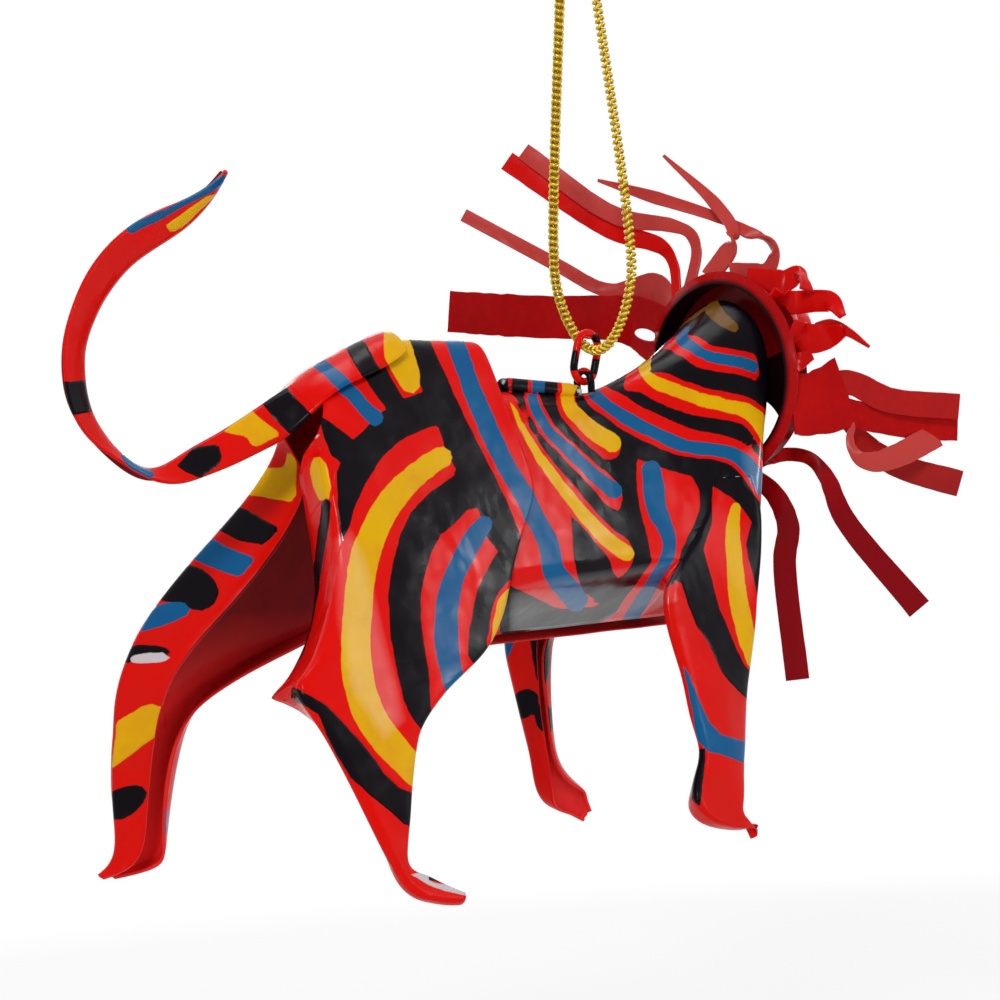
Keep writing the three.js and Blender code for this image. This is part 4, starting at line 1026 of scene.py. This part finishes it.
def strip_mesh(name, bends, widths, root_facing, tip_facing):
    """A thin crowned ribbon along a curve, with eased edges. Its face turns on the way."""
    path = spline(bends, STRIP_ROWS)
    last = len(path) - 1
    stops = np.linspace(0, 1, len(widths))
    root = Vector(root_facing).normalized()
    tip = Vector(tip_facing).normalized()
    vertices = []
    for i, p in enumerate(path):
        t = i / last
        tangent = (path[min(i + 1, last)] - path[max(i - 1, 0)]).normalized()
        turn = min(max((t - TURN_FROM) / (TURN_TO - TURN_FROM), 0), 1)
        facing = root.lerp(tip, turn * turn * (3 - 2 * turn))
        across = tangent.cross(facing).normalized()
        out = across.cross(tangent)
        wave = 1 + CUT_WAVE * noise.noise(p * CUT_WAVES)
        reach = float(np.interp(t, stops, widths)) / 2 * wave
        inner = reach - min(BEVEL, reach * BEVEL_SHARE)
        half = inner / 2
        section = [(-inner, 0), (-half, HALF_CROWN), (0, CROWN), (half, HALF_CROWN), (inner, 0),
                   (reach, -BEVEL_DROP), (reach, BEVEL_DROP - SHEET), (inner, -SHEET),
                   (0, CROWN - SHEET), (-inner, -SHEET), (-reach, BEVEL_DROP - SHEET),
                   (-reach, -BEVEL_DROP)]
        vertices += [p + across * s + out * (lift - CROWN * 0.5) for s, lift in section]
    return new_mesh(name, in_lion(vertices), tube_faces(last + 1, len(section)))


def collar_ring():
    """The collar's profile, turned round the ring's axis."""
    points = []
    for k in range(COLLAR_SEGMENTS):
        a = 2 * math.pi * k / COLLAR_SEGMENTS
        for r, along in COLLAR_PROFILE:
            points.append((RIM_X + along, r * math.sin(a), RIM_Z + r * math.cos(a)))
    faces = tube_faces(COLLAR_SEGMENTS, len(COLLAR_PROFILE), True)
    return new_mesh("collar", in_lion(points), faces)


def ring_plate():
    """The flat plate that closes the front of the ring above the throat."""
    half = math.acos((THROAT_Z - THROAT_DIP - RIM_Z) / RIM_R)
    end = RIM_R * math.sin(half)
    outline = []
    for k in range(PLATE_STEPS + 1):
        a = -half + 2 * half * k / PLATE_STEPS
        outline.append((RIM_R * math.sin(a), RIM_Z + RIM_R * math.cos(a)))
    for k in range(1, PLATE_STEPS):
        y = end - 2 * end * k / PLATE_STEPS
        outline.append((y, THROAT_Z - THROAT_DIP * (y / end) ** DIP_POWER))
    front = RIM_X + RIM_DEPTH
    vertices = in_lion([(x, y, z) for x in (front, front - SHEET) for y, z in outline])
    count = len(outline)
    faces = [list(range(count)), list(range(count, 2 * count))[::-1]]
    for k in range(count):
        n = (k + 1) % count
        faces.append([k, k + count, n + count, n])
    return new_mesh("plate", vertices, faces, False)


def slot_cutter():
    """A long ball that stands askew in the broadest strip's root."""
    ball = bmesh.new()
    segments, rings = SLOT_ROUND
    bmesh.ops.create_uvsphere(ball, u_segments=segments, v_segments=rings, radius=1.0)
    turned = Matrix.Rotation(SLOT_YAW, 4, "Z") @ Matrix.Rotation(SLOT_PITCH, 4, "X")
    place = Matrix.Translation(in_lion([SLOT_AT])[0]) @ turned @ Matrix.Diagonal((*SLOT_SIZE, 1))
    ball.transform(place @ Matrix.Diagonal((MM, MM, MM, 1)))
    return placed("slot", mesh_of("slot", ball))


def without_slot(piece, cutter):
    modifier = piece.modifiers.new("slot", "BOOLEAN")
    modifier.operation = "DIFFERENCE"
    modifier.solver = "EXACT"
    modifier.object = cutter
    cut = evaluated(piece)
    piece.modifiers.clear()
    piece.data = cut


def joined(name, pieces):
    """One mesh out of several, which go."""
    bm = bmesh.new()
    for piece in pieces:
        bm.from_mesh(piece.data)
        bpy.data.objects.remove(piece)
    mesh = mesh_of(name, bm)
    mesh.set_sharp_from_angle(angle=JOIN_SHARP)
    return placed(name, mesh)


# Painted reflection on each strip, in the order above: above 0 paler, as the bright surroundings
# mirrored in it, below 0 a brighter, deeper red without it
STRIP_SHEEN = (0, 0.6, -0.8, 0.55, 0.6, 0.5, -0.6, -0.8, -0.6, -0.3, -0.1, 0, 0, 0, 0, 0)
SPLIT_SHEEN = (0.1, -0.1, 0.6, 0.15, -0.4)


def make_mane(material):
    pieces = []
    for widths, clock, bends, *facing in MANE_STRIPS:
        a = math.radians(clock)
        root = (ROOT_X, ROOT_R * math.sin(a), RIM_Z + ROOT_R * math.cos(a))
        facing = facing[0] if facing else TO_BACK
        pieces.append(strip_mesh("strip", [root] + bends, widths, (-1, 0, 0), facing))
    for widths, bends in SPLIT_STRIPS:
        pieces.append(strip_mesh("split", bends, widths, TO_BACK, TO_BACK))
    collar = collar_ring()
    cutter = slot_cutter()
    without_slot(pieces[0], cutter)
    without_slot(collar, cutter)
    bpy.data.objects.remove(cutter)
    plate = ring_plate()
    sheens = [0.0] * (len(collar.data.vertices) + len(plate.data.vertices))
    for piece, tone in zip(pieces, STRIP_SHEEN + SPLIT_SHEEN):
        sheens += [tone] * len(piece.data.vertices)
    mane = joined("mane_strips", [collar, plate] + pieces)
    points = (rows_of(mane.data.vertices, "co") - np.array(LION)) / MM
    radius = np.hypot(points[:, 1], points[:, 2] - RIM_Z)
    # Painted shade: points inside the ring's hollow keep their radius, so the shader darkens them
    shade_radius = np.where(points[:, 0] < RIM_X + HOLLOW_DEPTH, radius, NO_HOLLOW_SHADE)
    store(mane.data, {"hollow": shade_radius, "tone": np.array(sheens)})
    stand_in(mane, "mane", "lion", material)


# Face: a domed head with brow, cheeks, muzzle and mouth. The photograph hides it. Its numbers
# are millimetres in the lion's own frame, y to the side and z up.

FACE_Z = 65.6
FACE_R = 8.4
FACE_DEPTH = 7.6
FACE_BACK = RIM_X + RIM_DEPTH + 0.3
FACE_LIMIT = 13.3
FACE_RINGS = 44
FACE_SPOKES = 112
FACE_EASE = (0.02, 0.25)         # the features fade out towards the dome's edge
EYE_Y, EYE_Z = 4.0, 68.7
EYE_R, EYE_BULGE = 1.15, 0.75
PUPIL_R = 0.5
SOCKET_R, SOCKET_DEPTH = 1.7, 0.5
BROW = (3.8, 70.6, 2.6, 0.8, 0.55)     # y, z, width, height, rise
CHEEK = (4.6, 64.2, 1.8, 1.6, 0.4)
MUZZLE_R = 3.4
MUZZLE_Z = 66.6
MUZZLE_TIP = 12.6
MUZZLE_MARGIN = 0.3
MUZZLE_ABOVE, MUZZLE_BELOW = 1.15, 0.95    # how much steeper it falls above and below
MUZZLE_POWER = 5
MUZZLE_FALL = 0.9
MOUTH_Z, MOUTH_TOP, MOUTH_END = 64.7, 67.2, 2.6
MOUTH_CURVE = 0.12
MOUTH_HALF, SPLIT_HALF = 0.28, 0.25
MOUTH_DEPTH = 0.35
NOSE_Z, NOSE_Y_HALF, NOSE_Z_HALF, NOSE_RISE = 68.0, 1.15, 0.7, 0.75
EAR_AT = (FACE_BACK + 1.6, 6.2, FACE_Z + 6.0)
EAR_R, EAR_FLAT = 2.1, 0.5
EAR_CUP, EAR_CUP_R = 1.15, 1.25
EAR_ROUND = (28, 18)
# Its paints. A shape that lies wholly on the left side stands on the right side too.
FACE_SHAPES = [
    ("black", 0, [(8.2, 66.0), (5.4, 65.4), (4.8, 66.2), (8.2, 67.0)]),
    ("black", 0, [(7.4, 62.6), (4.6, 63.2), (4.4, 64.0), (7.8, 63.6)]),
    ("black", 0.7, [(0, 66.6), (0, 65.2), (-1.0, 64.5), (-2.2, 64.6)]),
    ("black", 0.7, [(0, 65.2), (1.0, 64.5), (2.2, 64.6)]),
    ("black", 0, [(-1.3, 68.5), (1.3, 68.5), (0.5, 67.2), (-0.5, 67.2)]),
    ("black", 0.5, [(1.9, 66.4), (1.8, 66.3)]),
    ("black", 0.5, [(2.5, 65.7), (2.4, 65.6)]),
    ("blue", 0.8, [(6.0, 70.2), (4.2, 71.0), (2.2, 70.4)]),
    ("blue", 0.8, [(0, 72.6), (0, 70.4)]),
    ("yellow", 2.3, [(4.1, 68.7), (3.9, 68.7)]),
    ("yellow", 0.7, [(1.6, 72.4), (1.2, 70.2)]),
    ("yellow", 0.8, [(-2.6, 62.0), (0, 60.6), (2.6, 62.0)]),
]


def eased(value, low, high):
    t = np.clip((value - low) / (high - low), 0, 1)
    return t * t * (3 - 2 * t)


def hump(y, z, at_y, at_z, width, height, rise):
    """A soft rise on both sides of the face."""
    return rise * np.exp(-(((np.abs(y) - at_y) / width) ** 2) - ((z - at_z) / height) ** 2)


def head_depth(y, z):
    """How far the head stands out of its flat back."""
    spread = np.clip((y ** 2 + (z - FACE_Z) ** 2) / FACE_R ** 2, 0, 1)
    dome = FACE_DEPTH * np.sqrt(1 - spread)
    eye = np.hypot(np.abs(y) - EYE_Y, z - EYE_Z)
    socket = SOCKET_DEPTH * np.exp(-(eye / SOCKET_R) ** 2)
    edge = eased(1 - spread, *FACE_EASE)
    dome += edge * (hump(y, z, *BROW) + hump(y, z, *CHEEK) - socket)
    dome += edge * EYE_BULGE * np.sqrt(np.clip(1 - (eye / EYE_R) ** 2, 0, 1))
    away = np.hypot(y, (z - MUZZLE_Z) * np.where(z > MUZZLE_Z, MUZZLE_ABOVE, MUZZLE_BELOW))
    wall = np.clip(1 - (away / (MUZZLE_R + MUZZLE_MARGIN)) ** MUZZLE_POWER, 0, 1) ** 0.5
    muzzle = MUZZLE_TIP * wall - MUZZLE_FALL * (away / MUZZLE_R) ** 2 * (wall > 0)
    x = np.maximum(dome, muzzle)
    from_mouth = np.abs(z - MOUTH_Z - MOUTH_CURVE * y ** 2)
    groove = np.exp(-((from_mouth / MOUTH_HALF) ** 2)) * (np.abs(y) < MOUTH_END)
    split = np.exp(-((y / SPLIT_HALF) ** 2)) * (z > MOUTH_Z) * (z < MOUTH_TOP)
    x -= np.maximum(groove, split) * MOUTH_DEPTH * (muzzle > dome)
    nose = np.exp(-(y / NOSE_Y_HALF) ** 4 - ((z - NOSE_Z) / NOSE_Z_HALF) ** 4)
    x += NOSE_RISE * nose * (muzzle > dome)
    return np.clip(x, 0, FACE_LIMIT)


def make_head():
    """A height map over a disc, closed by a flat back."""
    rho = np.sin(np.linspace(0, 1, FACE_RINGS + 1)[1:] * math.pi / 2)
    theta = np.arange(FACE_SPOKES) * 2 * math.pi / FACE_SPOKES
    y = FACE_R * rho[:, None] * np.sin(theta)[None]
    z = FACE_Z + FACE_R * rho[:, None] * np.cos(theta)[None]
    y = np.concatenate([[0.0], y.ravel()])
    z = np.concatenate([[FACE_Z], z.ravel()])
    after = [(k + 1) % FACE_SPOKES for k in range(FACE_SPOKES)]
    faces = [[0, 1 + k, 1 + n] for k, n in enumerate(after)]
    for i in range(FACE_RINGS - 1):
        a = 1 + i * FACE_SPOKES
        b = a + FACE_SPOKES
        faces += [[a + k, b + k, b + n, a + n] for k, n in enumerate(after)]
    faces.append([1 + (FACE_RINGS - 1) * FACE_SPOKES + k for k in range(FACE_SPOKES)])
    front = np.stack([FACE_BACK + head_depth(y, z), y, z], 1)
    return new_mesh("head", in_lion(front), faces)


def make_ear(side):
    """A flattened ball, cupped at the front."""
    ear = bmesh.new()
    segments, rings = EAR_ROUND
    bmesh.ops.create_uvsphere(ear, u_segments=segments, v_segments=rings, radius=EAR_R)
    x, y, z = EAR_AT
    for vertex in ear.verts:
        off = math.hypot(vertex.co.y, vertex.co.z)
        vertex.co.x *= EAR_FLAT
        if vertex.co.x > 0:
            vertex.co.x -= EAR_CUP * math.exp(-(off / EAR_CUP_R) ** 4)
        vertex.co = in_lion([vertex.co + Vector((x, side * y, z))])[0]
    mesh = mesh_of("ear", ear)
    shade_smooth(mesh)
    return placed("ear", mesh)


def make_face(material):
    face = joined("domed_face", [make_head(), make_ear(-1), make_ear(1)])
    points = (rows_of(face.data.vertices, "co") - np.array(LION)) / MM
    shapes = []
    for name, width, outline in FACE_SHAPES:
        for side in (1, -1) if all(y > 0 for y, _ in outline) else (1,):
            scaled = [(side * y * PX_PER_MM, z * PX_PER_MM) for y, z in outline]
            shapes.append((name, width * PX_PER_MM, scaled))
    fields = paint_fields(points[:, 1:] * PX_PER_MM, shapes)
    pupil = np.hypot(np.abs(points[:, 1]) - EYE_Y, points[:, 2] - EYE_Z) - PUPIL_R
    black = np.minimum(fields["black"], pupil)
    fields = {name: np.maximum(values, -pupil) for name, values in fields.items()}
    fields.update(black=black, skin=np.ones(len(points)), polish=np.full(len(points), FAR))
    store(face.data, fields)
    stand_in(face, "face", "lion", material)


# Stage

FLOOR_Z = -0.170
FLOOR_SIZE = 4.0
FLOOR_GREY = (0.86, 0.86, 0.86, 1)
FLOOR_ROUGHNESS = 0.9
FLOOR_VEIL = 0.75        # share of plain white that the camera sees in the floor
FLOOR_FADE = (0.12, 0.28)    # metres from the middle, between which the rest turns white
WORLD_LIGHT = 0.32
LAMPS_AIM = (0, 0, -0.09)
LAMPS = {                # place and size in metres, watts
    "key": ((-0.55, -0.45, 0.35), (0.12, 0.18), 2.45),
    "fill": ((0.45, -0.6, 0.0), (0.12, 0.3), 0.9),
    "glint_left": ((-0.5, -0.2, 0.02), (0.02, 0.05), 0.2),
    "glint_right": ((0.5, -0.3, 0.12), (0.02, 0.05), 0.2),
    "top": ((0.1, 0.15, 0.6), (0.3, 0.3), 1.5),
    "rear": ((0.3, 0.6, 0.1), (0.4, 0.3), 1.2),
}


def looked_at(tree):
    """1 for rays that come from the camera, off a glossy surface or through a clear one."""
    rays = tree.nodes.new("ShaderNodeLightPath")
    found = rays.outputs["Is Camera Ray"]
    for kind in ("Is Glossy Ray", "Is Transmission Ray"):
        either = tree.nodes.new("ShaderNodeMath")
        either.operation = "MAXIMUM"
        tree.links.new(found, either.inputs[0])
        tree.links.new(rays.outputs[kind], either.inputs[1])
        found = either.outputs[0]
    return found


def show_blend(tree, output, *sockets):
    """Send a mix of two shaders to the output, from its factor and the two."""
    blend = tree.nodes.new("ShaderNodeMixShader")
    for k, socket in enumerate(sockets):
        tree.links.new(socket, blend.inputs[k])
    tree.links.new(blend.outputs[0], tree.nodes[output].inputs["Surface"])


def make_floor():
    corners = [(x * FLOOR_SIZE, y * FLOOR_SIZE, FLOOR_Z)
               for x, y in ((-1, -1), (1, -1), (1, 1), (-1, 1))]
    floor = new_mesh("floor", corners, [[0, 1, 2, 3]], False)
    shader = Shader("floor", Roughness=FLOOR_ROUGHNESS)
    shader.set("Base Color", FLOOR_GREY)
    flat = shader.add("ShaderNodeVectorMath", {0: shader.place(), 1: (1, 1, 0)},
                      operation="MULTIPLY").outputs[0]
    far = shader.add("ShaderNodeVectorMath", {0: flat}, operation="LENGTH").outputs["Value"]
    veil = shader.math("MAXIMUM", shader.ramp(far, *FLOOR_FADE), FLOOR_VEIL)
    veil = shader.math("MULTIPLY", veil, looked_at(shader.tree))
    white = shader.add("ShaderNodeEmission", {"Color": WHITE, "Strength": 1.0})
    show_blend(shader.tree, "Material Output", veil, shader.surface.outputs[0], white.outputs[0])
    dress(floor, shader.material)


def make_world():
    world = bpy.data.worlds.new("studio")
    bpy.context.scene.world = world
    world.use_nodes = True
    tree = world.node_tree
    light = tree.nodes["Background"]
    light.inputs["Strength"].default_value = WORLD_LIGHT
    shown = tree.nodes.new("ShaderNodeBackground")
    for background in (light, shown):
        background.inputs["Color"].default_value = WHITE
    show_blend(tree, "World Output", looked_at(tree), light.outputs[0], shown.outputs[0])


def make_lamps():
    for name, (place, size, watts) in LAMPS.items():
        data = bpy.data.lights.new(name, "AREA")
        data.shape = "RECTANGLE"
        data.size, data.size_y = size
        data.energy = watts
        lamp = placed(name, data)
        lamp.location = place
        look = Vector(LAMPS_AIM) - Vector(place)
        lamp.rotation_euler = look.to_track_quat("-Z", "Y").to_euler()


# Build

make_camera()
make_cord(gold_yarn())
enamel = painted_tin()
tin_sheet("hind_body", "hind_sheet", NEAR_HIND, FAR_HIND, enamel)
tin_sheet("fore_body", "fore_sheet", NEAR_FORE, FAR_FORE, enamel)
tin_sheet("tail", "tail_strip", TAIL, TAIL, enamel)
painted_wire("back_eye", "wire_eye", "lion", EYE_PAINT, enamel)
painted_wire("hanging_ring", "wire_ring", "ring", RING_PAINT, enamel)
make_bead(enamel)
make_mane(mane_enamel())
make_face(enamel)

make_floor()
make_world()
make_lamps()
bpy.context.scene.view_settings.view_transform = "Standard"
